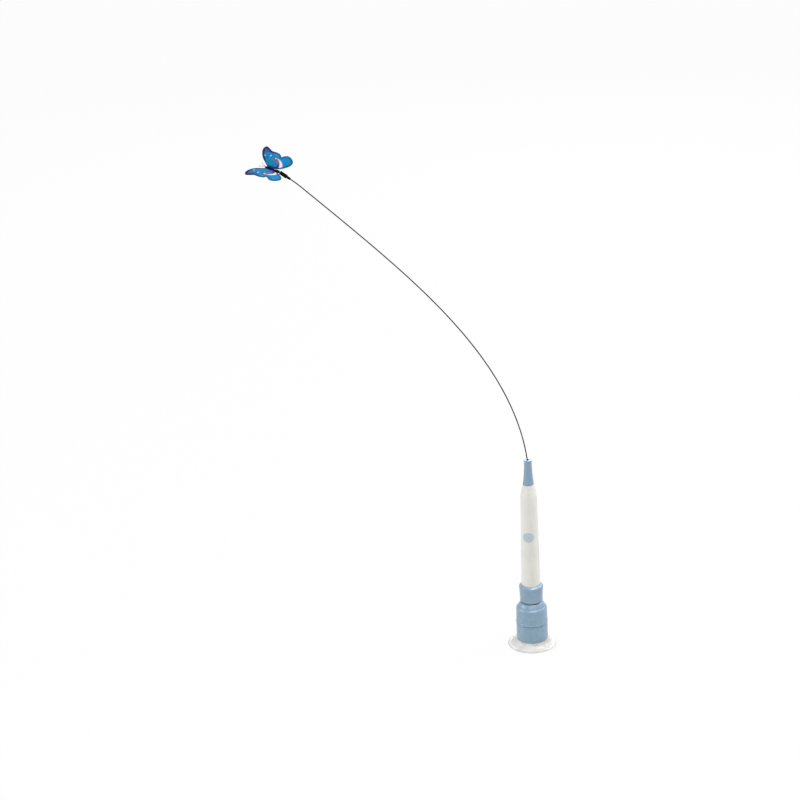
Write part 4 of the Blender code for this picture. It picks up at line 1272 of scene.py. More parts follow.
@dataclass
class TwistHead:
    """The drum that turns on the spigot, and the collar on it that holds the handle."""

    bottom: float = 29.9 * MM
    rim: float = 52.0 * MM
    top: float = 57.6 * MM
    foot_radius: float = 19.2 * MM
    rim_radius: float = 18.9 * MM
    rim_bevel: float = 2.0 * MM
    crease: float = 0.25 * MM
    band_height: float = 2.3 * MM
    band_proud: float = 0.4 * MM
    dome_top_radius: float = 12.8 * MM
    dome_steps: int = 18
    dome_swell: float = 0.4
    bore: float = 16.8 * MM
    wall: float = 2.4 * MM
    ceiling: float = 55.2 * MM
    hole: float = 8.8 * MM
    snap_low: float = 31.5 * MM
    snap_high: float = 33.7 * MM
    snap_depth: float = 0.5 * MM
    seat: float = 38.2 * MM
    seat_width: float = 1.1 * MM
    collar_bottom: float = 59.9 * MM
    collar_top: float = 80.9 * MM
    lip_radius: float = 14.9 * MM
    lip_flat: float = 0.8 * MM
    lip_drop: float = 1.9 * MM
    skirt_radius: float = 12.9 * MM
    skirt_bottom: float = 58.4 * MM
    bead_height: float = 1.7 * MM
    bead_proud: float = 0.25 * MM
    waist_radius: float = 14.3 * MM
    waist_share: float = 0.55
    collar_foot_radius: float = 13.8 * MM
    socket_bore: float = 11.75 * MM
    socket_floor: float = 63.2 * MM
    neck_radius: float = 8.5 * MM
    pilot_radius: float = 1.8 * MM
    pilot_length: float = 6.2 * MM

    def drum(self) -> Piece:
        """Builds the drum, with its domed top, its crease and its snap groove.

        The dome is part of the way from a straight cone to a quarter of an ellipse.

        Returns:
            The piece.
        """
        rim_top = self.rim - self.crease / 2
        dome_foot = self.rim_radius - self.rim_bevel - self.crease
        quarter = math.pi / 2 / self.dome_steps
        plain = 1 - self.dome_swell
        dome = []
        for step in range(self.dome_steps, -1, -1):
            up = step / self.dome_steps
            inward = self.dome_swell * math.cos(quarter * step) + plain * (1 - up)
            rise = self.dome_swell * math.sin(quarter * step) + plain * up
            radius = self.dome_top_radius + (dome_foot - self.dome_top_radius) * inward
            dome.append((radius, self.rim + (self.top - self.rim) * rise))
        band, band_radius = self.bottom + self.band_height, self.foot_radius + self.band_proud
        snap, seat_radius = self.bore + self.snap_depth, self.bore - self.seat_width
        return turned("upper_drum", [
            (self.hole, self.top, 0.25),
            *dome,
            (dome_foot, self.rim - self.crease, 0.08),
            (self.rim_radius - self.rim_bevel, rim_top, 0.6),
            (self.rim_radius, rim_top - self.rim_bevel, 1.0),
            (self.foot_radius, band + self.band_proud, 0.08),
            (band_radius, band - self.band_proud, 0.15),
            (band_radius, self.bottom, 0.8),
            (self.bore, self.bottom, 0.3),
            (self.bore, self.snap_low, 0.1),
            (snap, self.snap_low + self.snap_depth, 0.1),
            (snap, self.snap_high - self.snap_depth, 0.1),
            (self.bore, self.snap_high, 0.1),
            (self.bore, self.seat, 0.1),
            (seat_radius, self.seat, 0.2),
            (seat_radius, self.rim - self.wall, 0.5),
            (self.dome_top_radius - self.wall / 2, self.ceiling, 0.5),
            (self.hole, self.ceiling, 0.2),
        ], closed=True)

    def collar(self) -> Piece:
        """Builds the collar: a cup with a rounded lip, on a neck that goes into the drum.

        Returns:
            The piece.
        """
        bottom, top = self.collar_bottom, self.collar_top
        foot, bead = self.collar_foot_radius, self.collar_foot_radius + self.bead_proud
        neck_bottom = self.ceiling + GAP
        pilot_top = neck_bottom + self.pilot_length
        return turned("handle_collar", [
            (0.0, self.socket_floor),
            (self.socket_bore, self.socket_floor, 0.3),
            (self.socket_bore, top, 0.35),
            (self.socket_bore + self.lip_flat, top, 0.6),
            (self.lip_radius, top - self.lip_drop, 1.0),
            (self.waist_radius, bottom + (top - bottom) * self.waist_share, 3.0),
            (foot, bottom + self.bead_height, 0.1),
            (bead, bottom + self.bead_height, 0.25),
            (bead, bottom, 0.5),
            (self.skirt_radius, bottom, 0.3),
            (self.skirt_radius, self.skirt_bottom, 0.5),
            (self.neck_radius, self.skirt_bottom, 0.15),
            (self.neck_radius, neck_bottom, 0.3),
            (self.pilot_radius, neck_bottom, 0.2),
            (self.pilot_radius, pilot_top, 0.1),
            (0.0, pilot_top),
        ])

    def build(self) -> None:
        """Builds and dresses the head."""
        fit(self.drum(), BLUE, Slot.BLUE, Body.HEAD, ["twist_drum"])
        fit(self.collar(), BLUE, Slot.BLUE, Body.HEAD, ["socket_collar"])
        dress("cam_ring", NATURAL)
        dress("screw_washer", ZINC)
        dress("socket_screw", ZINC)


# The handle's outside, from its foot up: the share of its length and the share of its foot's radius
HANDLE_OUTLINE: list[Place] = smooth_through((
    (0.00, 0.995), (0.13, 1.000), (0.33, 0.985), (0.55, 0.940), (0.76, 0.908),
    (0.85, 0.890), (0.895, 0.865), (0.93, 0.795), (0.965, 0.705), (1.00, 0.635),
), 7)


@dataclass
class Wand:
    """The white handle, its oval inlay and plug, the blue nose and the crimp in it."""

    bottom: float = 65.5 * MM
    length: float = 149.0 * MM
    foot_radius: float = 11.4 * MM
    wall: float = 1.8 * MM
    # Where the bore follows the outside, as shares of the way up to its shoulder
    inner_shares: tuple[float, ...] = (0.4, 0.8, 0.94)
    nose_bottom: float = 214.8 * MM
    nose_length: float = 31.7 * MM
    nose_foot_radius: float = 6.75 * MM
    nose_waist_radius: float = 4.7 * MM
    lip_radius: float = 5.1 * MM
    lip_height: float = 2.2 * MM
    lip_share: float = 0.55
    spigot_radius: float = 5.0 * MM
    spigot_length: float = 10.5 * MM
    mouth_radius: float = 1.8 * MM
    hole_radius: float = 1.3 * MM
    flare_depth: float = 7.0 * MM
    curve_power: float = 1.9
    curve_steps: int = 16
    ferrule_bore: float = 2.5 * MM
    ferrule_length: float = 27.0 * MM
    inlay_height: float = 147.7 * MM
    inlay_half_width: float = 7.5 * MM
    inlay_half_height: float = 6.3 * MM
    inlay_turn: float = math.radians(-13.5)
    inlay_proud: float = 0.22 * MM
    inlay_rings: int = 8
    inlay_steps: int = 72
    edge_power: int = 10
    edge_sink: float = 1.6
    sink_share: float = 0.75

    def radius(self, height: float) -> float:
        """The handle's outer radius at a height above the floor."""
        return self.foot_radius * read_curve(HANDLE_OUTLINE, (height - self.bottom) / self.length)

    def handle(self) -> Piece:
        """Builds the white shell as one tube with a soft shoulder.

        Returns:
            The piece.
        """
        bottom, top = self.bottom, self.bottom + self.length
        outer = [
            (self.foot_radius * share, bottom + self.length * height)
            for height, share in reversed(HANDLE_OUTLINE[1:-1])
        ]
        mouth = self.spigot_radius + GAP
        shoulder = top - self.spigot_length + self.wall
        heights = [bottom + (shoulder - bottom) * share for share in self.inner_shares]
        foot = self.radius(bottom)
        return turned("white_handle", [
            (mouth, top, 0.2),
            (self.radius(top), top, 0.35),
            *outer,
            (foot, bottom, 0.4),
            (foot - self.wall, bottom, 0.2),
            *((self.radius(height) - self.wall, height) for height in heights),
            (mouth, shoulder, 0.2),
        ], closed=True)

    def inlay(self) -> Piece:
        """Builds the plain oval inlay, which follows the handle's surface with a soft edge.

        Returns:
            The piece.
        """
        shape = bmesh.new()
        middle = shape.verts.new(self._on_handle(0, 0, self.inlay_proud))
        shares = [ring / self.inlay_rings for ring in range(1, self.inlay_rings + 1)]
        grid = []
        for share, sink in [*((share, share**self.edge_power) for share in shares), (1.0, self.edge_sink)]:
            row = []
            for step in range(self.inlay_steps):
                angle = 2 * math.pi * step / self.inlay_steps
                aside = self.inlay_half_width * share * math.cos(angle)
                up = self.inlay_half_height * share * math.sin(angle)
                proud = self.inlay_proud * (1 - sink * self.sink_share)
                row.append(shape.verts.new(self._on_handle(aside, up, proud)))
            grid.append(row)
        for step in range(self.inlay_steps):
            after = (step + 1) % self.inlay_steps
            shape.faces.new((middle, grid[0][step], grid[0][after]))
            for here, there in zip(grid, grid[1:]):
                shape.faces.new((here[step], there[step], there[after], here[after]))
        return to_object("oval_inlay", shape)

    def _on_handle(self, aside: float, up: float, proud: float) -> Vector:
        """Finds a place on the handle's front.

        Args:
            aside: How far round the surface, in metres.
            up: How far above the inlay's middle.
            proud: How far out of the surface.

        Returns:
            The place.
        """
        height = self.inlay_height + up
        radius = self.radius(height)
        turn = self.inlay_turn + aside / radius
        return Vector(((radius + proud) * math.sin(turn), -(radius + proud) * math.cos(turn), height))

    def nose(self) -> Piece:
        """Builds the nose: a hollow-flanked cone with a lip and a flared hole.

        Returns:
            The piece.
        """
        top = self.nose_bottom + self.nose_length
        flank = self.nose_length - self.lip_height
        flare = self.nose_foot_radius - self.nose_waist_radius
        outer = []
        for step in range(self.curve_steps + 1):
            radius = self.nose_waist_radius + flare * (step / self.curve_steps) ** self.curve_power
            height = top - self.lip_height - flank * step / self.curve_steps
            outer.append((radius, height, 0.3 if step in (0, self.curve_steps) else 0.0))
        spigot_bottom = self.nose_bottom - self.spigot_length
        ferrule_top = spigot_bottom + self.ferrule_length + GAP
        return turned("blue_nose", [
            (self.mouth_radius, top, 0.5),
            (self.lip_radius, top, 0.6),
            (self.lip_radius, top - self.lip_height * self.lip_share, 0.3),
            *outer,
            (self.spigot_radius, self.nose_bottom, 0.1),
            (self.spigot_radius, spigot_bottom, 0.3),
            (self.ferrule_bore, spigot_bottom, 0.2),
            (self.ferrule_bore, ferrule_top, 0.2),
            (self.hole_radius, ferrule_top + self.ferrule_bore - self.hole_radius, 0.2),
            (self.hole_radius, top - self.flare_depth, 1.0),
        ], closed=True, steps=FINE_STEPS)

    def build(self) -> None:
        """Builds and dresses the wand below its wire."""
        fit(self.handle(), WHITE, Slot.WHITE, Body.WAND, ["handle_shell"])
        fit(self.inlay(), MARK_BLUE, Slot.BLUE, Body.WAND)
        fit(self.nose(), BLUE, Slot.BLUE, Body.WAND, ["nose_cone"])
        dress("end_plug", NATURAL)
        dress("wire_ferrule", BRASS)


@dataclass
class SpringWire:
    """The curved spring wire, with the sleeve and the barrel on its tip."""

    radius: float = 0.74 * MM
    sides: int = 20
    exit_height: float = 248.4 * MM
    held_bottom: float = 207.3 * MM
    bare_length: float = 459.2 * MM
    free_length: float = 468.3 * MM
    root_length: float = 14.0 * MM
    root_angle: float = math.radians(6.85)
    bend_angle: float = math.radians(39.8)
    bend_power: float = 2.68
    droop_length: float = 16.0 * MM
    droop_angle: float = math.radians(6.0)
    step: float = 0.2 * MM
    kept_every: int = 8
    sleeve_length: float = 4.8 * MM
    sleeve_radius: float = 1.5 * MM
    sleeve_gap: float = 0.05 * MM
    # The sleeve's outline towards the wire, as shares of its length and of its radius
    thick_to: float = 0.45
    thin_from: float = 0.62
    thin_share: float = 0.93
    swell_share: float = 0.96
    end_share: float = 0.88
    end_height: float = 0.5 * MM
    barrel_length: float = 9.2 * MM
    barrel_radius: float = 2.45 * MM
    barrel_grip: float = 4.0 * MM
    barrel_gap: float = 0.1 * MM
    barrel_waist: float = 0.2 * MM
    barrel_band: float = 1.2 * MM
    head_radius: float = 1.2 * MM
    head_length: float = 1.2 * MM
    pin_radius: float = 0.55 * MM

    def angle(self, distance: float) -> float:
        """Gives the wire's angle from the vertical.

        Args:
            distance: The distance along it from where it leaves the nose.

        Returns:
            The angle in radians.
        """
        if distance < 0:
            return self.root_angle * max(1 + distance / self.root_length, 0)
        left = max(1 - distance / self.bare_length, 0)
        droop = min(max(1 - (self.bare_length - distance) / self.droop_length, 0), 1)
        return self.root_angle + self.bend_angle * (1 - left**self.bend_power) + self.droop_angle * droop

    def line(self) -> tuple[list[Vector], Vector, Vector]:
        """Walks along the wire.

        Returns:
            Its places, the place where it leaves the nose, and the place where its sleeve starts.
        """
        place = Vector((0, 0, self.exit_height - self.root_length))
        places = [Vector((0, 0, self.held_bottom)), place.copy()]
        root, sleeve_start = place, place
        count = round((self.root_length + self.free_length) / self.step)
        fine = (self.root_length + self.free_length) / count
        for index in range(count):
            distance = -self.root_length + (index + 0.5) * fine
            turn = self.angle(distance)
            place = place + Vector((-math.sin(turn), 0, math.cos(turn))) * fine
            if distance <= 0:
                root = place
            if distance <= self.bare_length:
                sleeve_start = place
            if (index + 1) % self.kept_every == 0 or index == count - 1:
                places.append(place)
        return places, root, sleeve_start

    def tip(self, places: Sequence[Vector]) -> Matrix:
        """A frame at the wire's tip, with its Z along the wire."""
        return Matrix.Translation(places[-1]) @ Matrix.Rotation(-self.angle(self.free_length), 4, "Y")

    def sleeve(self) -> Piece:
        """Builds the shrunk sleeve, which thins a little towards the wire.

        Returns:
            The piece, in the tip's frame.
        """
        bore, outer, length = self.radius + self.sleeve_gap, self.sleeve_radius, self.sleeve_length
        top = -self.barrel_grip - GAP
        low = top - length
        return turned("shrunk_sleeve", [
            (bore, top, 0.05),
            (outer, top, 0.2),
            (outer, top - length * self.thick_to, 0.6),
            (outer * self.thin_share, top - length * self.thin_from, 0.6),
            (outer * self.swell_share, low + self.end_height, 0.4),
            (outer * self.end_share, low, 0.25),
            (bore, low, 0.05),
        ], closed=True, steps=SMALL_STEPS)

    def barrel(self) -> Piece:
        """Builds the barrel, with its two bands and the pocket for the pin's head.

        Returns:
            The piece, in the tip's frame.
        """
        front, rear = self.barrel_length - self.barrel_grip, -self.barrel_grip
        pocket, mouth, bore = self.head_radius + GAP, self.pin_radius + GAP, self.radius + self.barrel_gap
        pocket_top = front - self.head_length
        pocket_low = pocket_top - self.head_length - 2 * GAP
        outer, waist, band = self.barrel_radius, self.barrel_radius - self.barrel_waist, self.barrel_band
        return turned("tip_barrel", [
            (0.0, pocket_low),
            (pocket, pocket_low, 0.1),
            (pocket, pocket_top, 0.1),
            (mouth, pocket_top, 0.1),
            (mouth, front, 0.15),
            (outer, front, 0.3),
            (outer, front - band, 0.15),
            (waist, front - band - self.barrel_waist, 0.15),
            (waist, rear + band + self.barrel_waist, 0.15),
            (outer, rear + band, 0.15),
            (outer, rear, 0.65),
            (bore, rear, 0.1),
            (bore, GAP, 0.05),
            (0.0, GAP),
        ], steps=MIDDLE_STEPS)

    def build(self) -> Matrix:
        """Builds and dresses the wire and what is fixed to its tip.

        Returns:
            The frame at the wire's tip.
        """
        places, root, sleeve_start = self.line()
        tip = self.tip(places)
        wire = swept("curved_wire", places, [self.radius] * len(places), self.sides)
        wire.data.materials.append(made(WIRE_STEEL))
        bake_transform(wire)
        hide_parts("spring_wire")
        LOG.info("curved_wire: %d faces, bends from wand to wire_tip", len(wire.data.polygons))
        for piece, finish, node in (
            (self.sleeve(), SLEEVE_BLACK, "tip_sleeve"),
            (self.barrel(), BARREL_BLACK, "swivel_barrel"),
        ):
            piece.matrix_world = tip
            fit(piece, finish, Slot.BLACK, Body.TIP, [node])
        return tip


# The body from its tail forward: the share of its length and the share of its greatest radius
BODY_OUTLINE: tuple[Place, ...] = (
    (0.00, 0.50), (0.05, 0.62), (0.15, 0.74), (0.21, 0.70), (0.31, 0.83), (0.37, 0.77), (0.52, 1.00),
    (0.63, 0.98), (0.72, 0.64), (0.79, 0.78), (0.88, 0.76), (0.95, 0.60), (0.99, 0.34),
)

# The wing's edge round its root: degrees forward of square and the share of its reach
WING_EDGE: tuple[Place, ...] = (
    (80, 0.15), (72, 0.21), (65, 0.31), (60, 0.46), (56, 0.58), (51, 0.72), (46, 0.855),
    (41, 0.95), (36, 1.00), (32, 0.985), (28, 0.895), (24, 0.81), (20, 0.745), (13, 0.72),
    (2, 0.70), (-10, 0.665), (-19, 0.60), (-23, 0.69), (-28, 0.785), (-34, 0.84), (-42, 0.87),
    (-52, 0.88), (-59, 0.85), (-65, 0.77), (-70, 0.66), (-75, 0.54), (-80, 0.44), (-85, 0.34),
)


@dataclass
class Butterfly:
    """The butterfly, with the bead and the pin that it turns on."""

    tip: Matrix
    wire: SpringWire
    pin_gap: float = 0.8 * MM
    pin_bends: int = 4
    pin_sides: int = 24
    pin_bore_gap: float = 0.1 * MM
    pin_grip: float = 3.2 * MM
    head_bevel: float = 0.12 * MM
    head_step: float = 0.02 * MM
    bead_length: float = 5.2 * MM
    bead_radius: float = 1.75 * MM
    bead_back: float = 0.5 * MM
    bead_power: float = 0.26
    bead_steps: int = 22
    body_length: float = 12.5 * MM
    body_radius: float = 1.8 * MM
    # The abdomen's rings, in shares of the body's radius and length
    ring_height: float = 0.030
    ring_rate: int = 22
    ring_span: Place = (0.03, 0.40)
    outline_steps: int = 5
    thorax_share: float = 0.562
    root_share: float = 0.55
    nap_height: float = 0.05 * MM
    nap_scale: float = 2600.0
    nap_from: float = 1.2
    eye_radius: float = 0.52 * MM
    eye_place: Place = (-0.45 * MM, 0.95 * MM)
    eye_share: float = 0.86
    eye_steps: tuple[int, int] = (24, 14)
    tail_gap: float = 0.3 * MM
    yaw: float = math.radians(23.0)
    pitch: float = math.radians(15.0)
    roll: float = math.radians(21.3)
    dihedral: float = math.radians(10.0)
    reach: float = 30.7 * MM
    film: float = 0.34 * MM
    camber: float = 2.2 * MM
    # What the arch, the drooping lead and the rising tip have of the camber
    camber_arch: float = 0.55
    camber_lead: float = 0.5
    camber_tip: float = 0.35
    root_front: float = 2.4 * MM
    root_rear: float = 3.8 * MM
    edge_steps: int = 12
    fan: int = 190
    rings: int = 26
    near_steps: int = 14
    antenna_length: float = 5.8 * MM
    antenna_radius: float = 0.32 * MM
    antenna_steps: int = 26
    antenna_sides: int = 14
    # In shares of its length: its start behind the head's front, and its way aside and up, where
    # the first number holds at the root and the second is added towards the tip
    antenna_back: float = 0.12
    antenna_aside: Place = (0.1, 0.58)
    antenna_rise: Place = (0.08, 0.22)
    antenna_taper: float = 0.25
    least_square: float = 0.02
    club_radius: float = 0.5 * MM
    club_start: float = 0.68
    club_run: float = 0.20
    club_end: float = 0.07

    def heading(self) -> Matrix:
        """Finds the butterfly's own axes.

        Returns:
            A turn with X forward, Y to its left and Z up.
        """
        flat, rise = math.cos(self.pitch), math.sin(self.pitch)
        forward = Vector((-math.cos(self.yaw) * flat, math.sin(self.yaw) * flat, rise))
        left = Vector((-math.sin(self.yaw), -math.cos(self.yaw), 0))
        level = Matrix((forward, left, forward.cross(left))).transposed()
        return level @ Matrix.Rotation(-self.roll, 3, "X")

    def pin_line(self) -> tuple[list[Vector], Vector]:
        """Lays out the swivel pin's middle line.

        Returns:
            Its places from its head to where the bead starts, and the forward direction.
        """
        along = (self.tip.to_3x3() @ Vector((0, 0, 1))).normalized()
        forward = self.heading() @ Vector((1, 0, 0))
        front = self.wire.barrel_length - self.wire.barrel_grip
        head = self.tip @ Vector((0, 0, front - self.wire.head_length * 1.5 - GAP))
        places = [head, self.tip @ Vector((0, 0, front + GAP))]
        for step in range(1, self.pin_bends + 1):
            way = along.lerp(forward, step / (self.pin_bends + 1)).normalized()
            places.append(places[-1] + way * self.pin_gap / self.pin_bends)
        return places, forward

    def pin(self, places: Sequence[Vector], forward: Vector) -> Piece:
        """Builds the headed pin, with a smooth bend behind the bead.

        Args:
            places: The line from its head to the bead.
            forward: The body's direction.

        Returns:
            The piece.
        """
        start = places[-1]
        end = start + forward * (self.bead_length + GAP + self.tail_gap + self.pin_grip)
        ahead = (places[1] - places[0]).normalized()
        half, bevel = self.wire.head_length / 2, self.head_bevel
        head, thin = self.wire.head_radius, self.wire.pin_radius
        steps = (-half, -(half - bevel), half - bevel, half, half + self.head_step)
        line = [places[0] + ahead * step for step in steps]
        line += [*places[1:], start.lerp(end, 0.5), end]
        radii = [head - bevel, head, head, head - bevel]
        radii += [thin] * (len(line) - len(radii))
        return swept("headed_pin", line, radii, self.pin_sides)

    def bead(self) -> Piece:
        """Builds the round-ended bead.

        Returns:
            The piece, along Z from its rear end.
        """
        bore = self.wire.pin_radius + self.pin_bore_gap
        span = self.bead_length + self.bead_back
        outer = []
        for step in range(1, self.bead_steps):
            turn = math.pi * step / self.bead_steps
            radius = bore + (self.bead_radius - bore) * math.sin(turn) ** self.bead_power
            outer.append((radius, span * (1 + math.cos(turn)) / 2 - self.bead_back))
        corners = [(bore, self.bead_length), *outer, (bore, -self.bead_back)]
        return turned("neck_bead_fine", corners, closed=True, steps=SMALL_STEPS)

    def trunk(self) -> Piece:
        """Builds the body: a ringed abdomen, a full thorax and a head with two domed eyes.

        Returns:
            The piece, along Z from its tail, with a second material for its eyes.
        """
        corners = [(0.0, self.body_length)]
        first, last = self.ring_span
        for height, share in reversed(smooth_through(BODY_OUTLINE, self.outline_steps)):
            ring = self.ring_height * math.sin(height * math.pi * self.ring_rate)
            full = share + (ring if first < height < last else 0.0)
            corners.append((self.body_radius * full, self.body_length * height))
        bore = self.wire.pin_radius + self.pin_bore_gap
        floor = self.pin_grip + GAP
        corners += [(bore, 0.0), (bore, floor), (0.0, floor)]
        body = turned("segmented_body", corners, steps=SMALL_STEPS)
        for finish in (NAVY, EYE):
            body.data.materials.append(made(finish))
        shape = bmesh.new()
        shape.from_mesh(body.data)
        for vertex in shape.verts:
            flat = Vector((vertex.co.x, vertex.co.y))
            if flat.length > bore * self.nap_from:
                nap = noise.noise(vertex.co * self.nap_scale) * self.nap_height
                vertex.co.x += flat.x / flat.length * nap
                vertex.co.y += flat.y / flat.length * nap
        for side in Side:
            place = (self.eye_place[0], side.value * self.eye_place[1], self.body_length * self.eye_share)
            eye = bmesh.ops.create_uvsphere(
                shape,
                u_segments=self.eye_steps[0],
                v_segments=self.eye_steps[1],
                radius=self.eye_radius,
                matrix=Matrix.Translation(place),
            )
            for face in {face for vertex in eye["verts"] for face in vertex.link_faces}:
                face.material_index = 1
                face.smooth = True
        shape.to_mesh(body.data)
        shape.free()
        return body

    def edge(self) -> list[Place]:
        """Lays out the wing's edge.

        Returns:
            (angle, reach) places from the leading root to the trailing root.
        """
        fine = smooth_through([(math.radians(angle), share) for angle, share in WING_EDGE], self.edge_steps)
        rising = fine[::-1]
        first, last = fine[0][0], fine[-1][0]
        angles = [first + (last - first) * step / self.fan for step in range(self.fan + 1)]
        return [(angle, self.reach * read_curve(rising, angle)) for angle in angles]

    def height(self, forward: float, out: float) -> float:
        """Finds the cambered film's height over the wing's plane.

        Args:
            forward: How far forward the place is.
            out: How far out it is.

        Returns:
            The height there.
        """
        aside, ahead = out / self.reach, forward / self.reach
        arch = math.sin(math.pi * min(max(aside, 0), 1))
        lead, tip = self.camber_lead * ahead * aside, self.camber_tip * aside * aside
        return self.camber * (self.camber_arch * arch - lead + tip)

    def waist(self, forward: float) -> float:
        """The body's radius at a distance forward of the thorax's middle."""
        return self.body_radius * read_curve(BODY_OUTLINE, self.thorax_share + forward / self.body_length)

    def wing(self, side: Side) -> Piece:
        """Builds one side's film, forewing and hindwing in one sheet.

        Args:
            side: Which side it is for.

        Returns:
            The piece, with UV maps of its plan and of the distance in from its edge.
        """
        inset = self.body_radius + GAP
        tips = []
        for angle, reach in self.edge():
            tips.append(Vector((math.sin(angle) * reach, math.cos(angle) * reach + inset)))
        shape = bmesh.new()
        plan, rim = (shape.loops.layers.uv.new(space.value) for space in (Space.PLAN, Space.RIM))
        rows: list[list[bmesh.types.BMVert]] = []
        marks: dict[bmesh.types.BMVert, tuple[Place, Place]] = {}
        for index, tip in enumerate(tips):
            share = index / self.fan
            root = self.root_front - (self.root_front + self.root_rear) * share
            start = Vector((root, self.waist(root) * self.root_share))
            near = tips[max(index - self.near_steps, 0) : index + self.near_steps + 1 : 2]
            row = []
            for ring in range(self.rings + 1):
                place = start.lerp(tip, ring / self.rings)
                depth = 0.0 if ring == self.rings else min((place - other).length for other in near)
                vertex = shape.verts.new((place.x, side.value * place.y, self.height(place.x, place.y)))
                across = 0.5 + place.x / (2 * self.reach), place.y / self.reach
                marks[vertex] = (across, (depth / self.reach, share))
                row.append(vertex)
            rows.append(row)
        for here, there in zip(rows, rows[1:]):
            for k in range(self.rings):
                face = shape.faces.new((here[k], here[k + 1], there[k + 1], there[k]))
                for loop in face.loops:
                    loop[plan].uv, loop[rim].uv = marks[loop.vert]
        sheet = to_object(f"{side.name.lower()}_wing_film", shape, FOLDED)
        solid = sheet.modifiers.new("film", "SOLIDIFY")
        solid.thickness = self.film
        solid.offset = 0
        return sheet

    def antenna(self, side: Side) -> Piece:
        """Builds one curved antenna with its club.

        Args:
            side: Which side it is for.

        Returns:
            The piece, from the head's front.
        """
        line, radii = [], []
        for step in range(self.antenna_steps + 1):
            t = step / self.antenna_steps
            aside = side.value * (self.antenna_aside[0] + self.antenna_aside[1] * t * t)
            rise = self.antenna_rise[0] + self.antenna_rise[1] * math.sin(t * math.pi / 2)
            line.append(Vector((t - self.antenna_back * (1 - t), aside, rise)) * self.antenna_length)
            club = min(max(0.0, t - self.club_start) / self.club_run, 1.0)
            close = max(0.0, t - (1 - self.club_end)) / self.club_end
            swell = 1 + (self.club_radius / self.antenna_radius - 1) * club
            domed = math.sqrt(max(1 - close * close, self.least_square))
            radii.append(self.antenna_radius * (1 - self.antenna_taper * t) * swell * domed)
        return swept(f"{side.name.lower()}_antenna_fine", line, radii, self.antenna_sides)

    def build(self) -> None:
        """Builds and dresses the butterfly."""
        places, forward = self.pin_line()
        start, heading = places[-1], self.heading().to_4x4()
        tail = GAP + self.bead_length + self.tail_gap

        def ahead(distance: float) -> Matrix:
            """A move to a distance along the body's line from the bead's start."""
            return Matrix.Translation(start + forward * distance)

        fit(self.pin(places, forward), DARK_PIN, Slot.STEEL, Body.BUTTERFLY, ["swivel_pin"])
        along = heading @ Matrix.Rotation(math.pi / 2, 4, "Y")
        bead = self.bead()
        bead.matrix_world = ahead(GAP) @ along
        fit(bead, BEAD_BLACK, Slot.BLACK, Body.BUTTERFLY, ["neck_bead"])
        trunk = self.trunk()
        trunk.matrix_world = ahead(tail) @ along
        fit(trunk, NAVY, Slot.NAVY, Body.BUTTERFLY, ["butterfly_body"])
        for side in Side:
            sheet = self.wing(side)
            lift = Matrix.Rotation(side.value * self.dihedral, 4, "X")
            sheet.matrix_world = ahead(tail + self.body_length * self.thorax_share) @ heading @ lift
            fit(sheet, FILM, Slot.WING, Body.BUTTERFLY, [f"{side.name.lower()}_wing"])
            feeler = self.antenna(side)
            feeler.matrix_world = ahead(tail + self.body_length + GAP) @ heading
            fit(feeler, PINK, Slot.PINK, Body.BUTTERFLY, [f"{side.name.lower()}_antenna"])


@dataclass
class Lamp:
    """A soft lamp, aimed at a place on the toy."""

    name: str
    place: tuple[float, float, float]
    size: Place
    power: float
    colour: Colour = (1.0, 1.0, 1.0)
    roll: float = 0.0
    aim: tuple[float, float, float] = (-0.05, 0.0, 0.25)

    def build(self) -> None:
        """Hangs the lamp."""
        light = bpy.data.lights.new(self.name, "AREA")
        light.shape = "RECTANGLE"
        light.size, light.size_y = self.size
        light.energy = self.power
        light.color = self.colour
        lamp = stand_in_scene(self.name, light)
        lamp.location = self.place
        way = Vector(self.aim) - Vector(self.place)
        lamp.rotation_euler = (way.to_track_quat("-Z", "Y") @ Quaternion((0, 0, 1), self.roll)).to_euler()


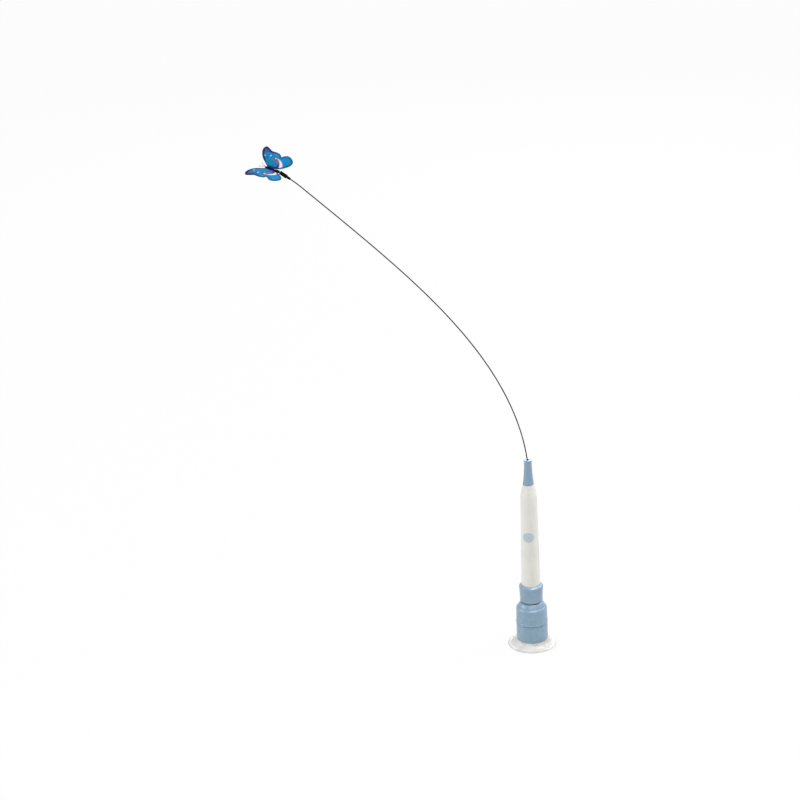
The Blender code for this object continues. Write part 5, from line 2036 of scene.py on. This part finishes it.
@dataclass
class Studio:
    """The plain floor, the white room, the lamps, and the camera at the photograph's angle."""

    lens: float = 120.0
    sensor: float = 36.0
    farthest: float = 50.0
    eye: tuple[float, float, float] = (-0.1505016, -2.9498813, 1.5234725)
    pitch: float = math.radians(22.0)
    tilt: float = math.radians(-2.5925)
    floor_half: float = 16.0
    floor_drop: float = 0.15 * MM
    floor_white: float = 0.80
    floor_glow: float = 0.96
    ambient: float = 0.34
    ambient_colour: Colour = (0.97, 0.985, 1.0)

    def camera(self) -> None:
        """Sets the camera where the photograph was taken from."""
        data = bpy.data.cameras.new("photo_camera")
        data.lens = self.lens
        data.sensor_width = self.sensor
        data.clip_end = self.farthest
        camera = stand_in_scene("photo_camera", data)
        ahead = Vector((0, math.cos(self.pitch), -math.sin(self.pitch)))
        level_right = Vector((1, 0, 0))
        level_up = Vector((0, math.sin(self.pitch), math.cos(self.pitch)))
        right = level_right * math.cos(self.tilt) + level_up * math.sin(self.tilt)
        up = level_up * math.cos(self.tilt) - level_right * math.sin(self.tilt)
        turn = Matrix((right, up, -ahead)).transposed().to_4x4()
        camera.matrix_world = Matrix.Translation(self.eye) @ turn
        bpy.context.scene.camera = camera

    @staticmethod
    def _seen(bench: Bench) -> Flow:
        """Tells the rays that see the backdrop: from the camera, a reflection or through glass.

        Args:
            bench: The bench of the floor's material or of the world.

        Returns:
            1 for such a ray, otherwise 0.
        """
        rays = bench.add("LightPath")
        direct, mirrored, through = (
            Flow(bench, rays.outputs[f"Is {kind} Ray"]) for kind in ("Camera", "Glossy", "Transmission")
        )
        return bench.calc("MAXIMUM", bench.calc("MAXIMUM", direct, mirrored), through)

    def floor(self) -> None:
        """Lays the plain white floor, which keeps a faint shadow."""
        material = bpy.data.materials.new("studio_floor")
        bench = Bench(material)
        white = self.floor_white
        matt = bench.flow("BsdfDiffuse", 0, {"Color": (white, white, white)})
        glow = bench.flow("Emission", 0)
        mixed = bench.flow("MixShader", 0, {0: self._seen(bench) * self.floor_glow, 1: matt, 2: glow})
        bench.add("OutputMaterial", {"Surface": mixed})
        far = self.floor_half
        corners = ((-far, -far), (far, -far), (far, far), (-far, far))
        mesh = bpy.data.meshes.new("studio_floor")
        mesh.from_pydata([(x, y, -self.floor_drop) for x, y in corners], [], [(0, 1, 2, 3)])
        mesh.materials.append(material)
        floor = stand_in_scene("studio_floor", mesh)

    def room(self) -> None:
        """Fills the room with even white light, and makes it plain white where it is seen."""
        world = bpy.data.worlds.new("white_room")
        bpy.context.scene.world = world
        bench = Bench(world)
        soft = bench.flow("Background", 0, {"Strength": self.ambient, "Color": self.ambient_colour})
        plain = bench.flow("Background", 0, {"Color": (1.0, 1.0, 1.0)})
        mixed = bench.flow("MixShader", 0, {0: self._seen(bench), 1: soft, 2: plain})
        bench.add("OutputWorld", {"Surface": mixed})

    def lamps(self) -> None:
        """Hangs the lamps: a long key panel above, soft boxes at both sides and behind, a weak fill."""
        for lamp in (
            Lamp("left_box", (-2.15, -0.1, 1.1), (1.2, 1.2), 17.0, (1.0, 0.995, 0.985)),
            Lamp("right_box", (1.72, 0.98, 1.60), (0.6, 0.9), 11.0, (0.98, 0.99, 1.0)),
            Lamp("key_panel", (0.60, -0.32, 2.15), (2.0, 0.7), 32.0, roll=math.radians(-20)),
            Lamp("rear_box", (0.3, 2.2, 1.2), (1.2, 1.1), 15.0),
            Lamp("fill", (-0.4, -2.5, 1.6), (1.2, 1.2), 6.5),
        ):
            lamp.build()

    def build(self) -> None:
        """Sets up the whole studio."""
        self.camera()
        self.floor()
        self.room()
        self.lamps()
        bpy.context.scene.view_settings.view_transform = "Standard"


def main() -> None:
    """Builds the sub-assemblies in order, from the floor up, and the studio round them."""
    logging.basicConfig(level=logging.INFO, format="%(name)s: %(message)s", stream=sys.stdout)
    SuctionFoot().build()
    TwistHead().build()
    Wand().build()
    wire = SpringWire()
    Butterfly(tip=wire.build(), wire=wire).build()
    Studio().build()


if __name__ == "__main__":
    main()
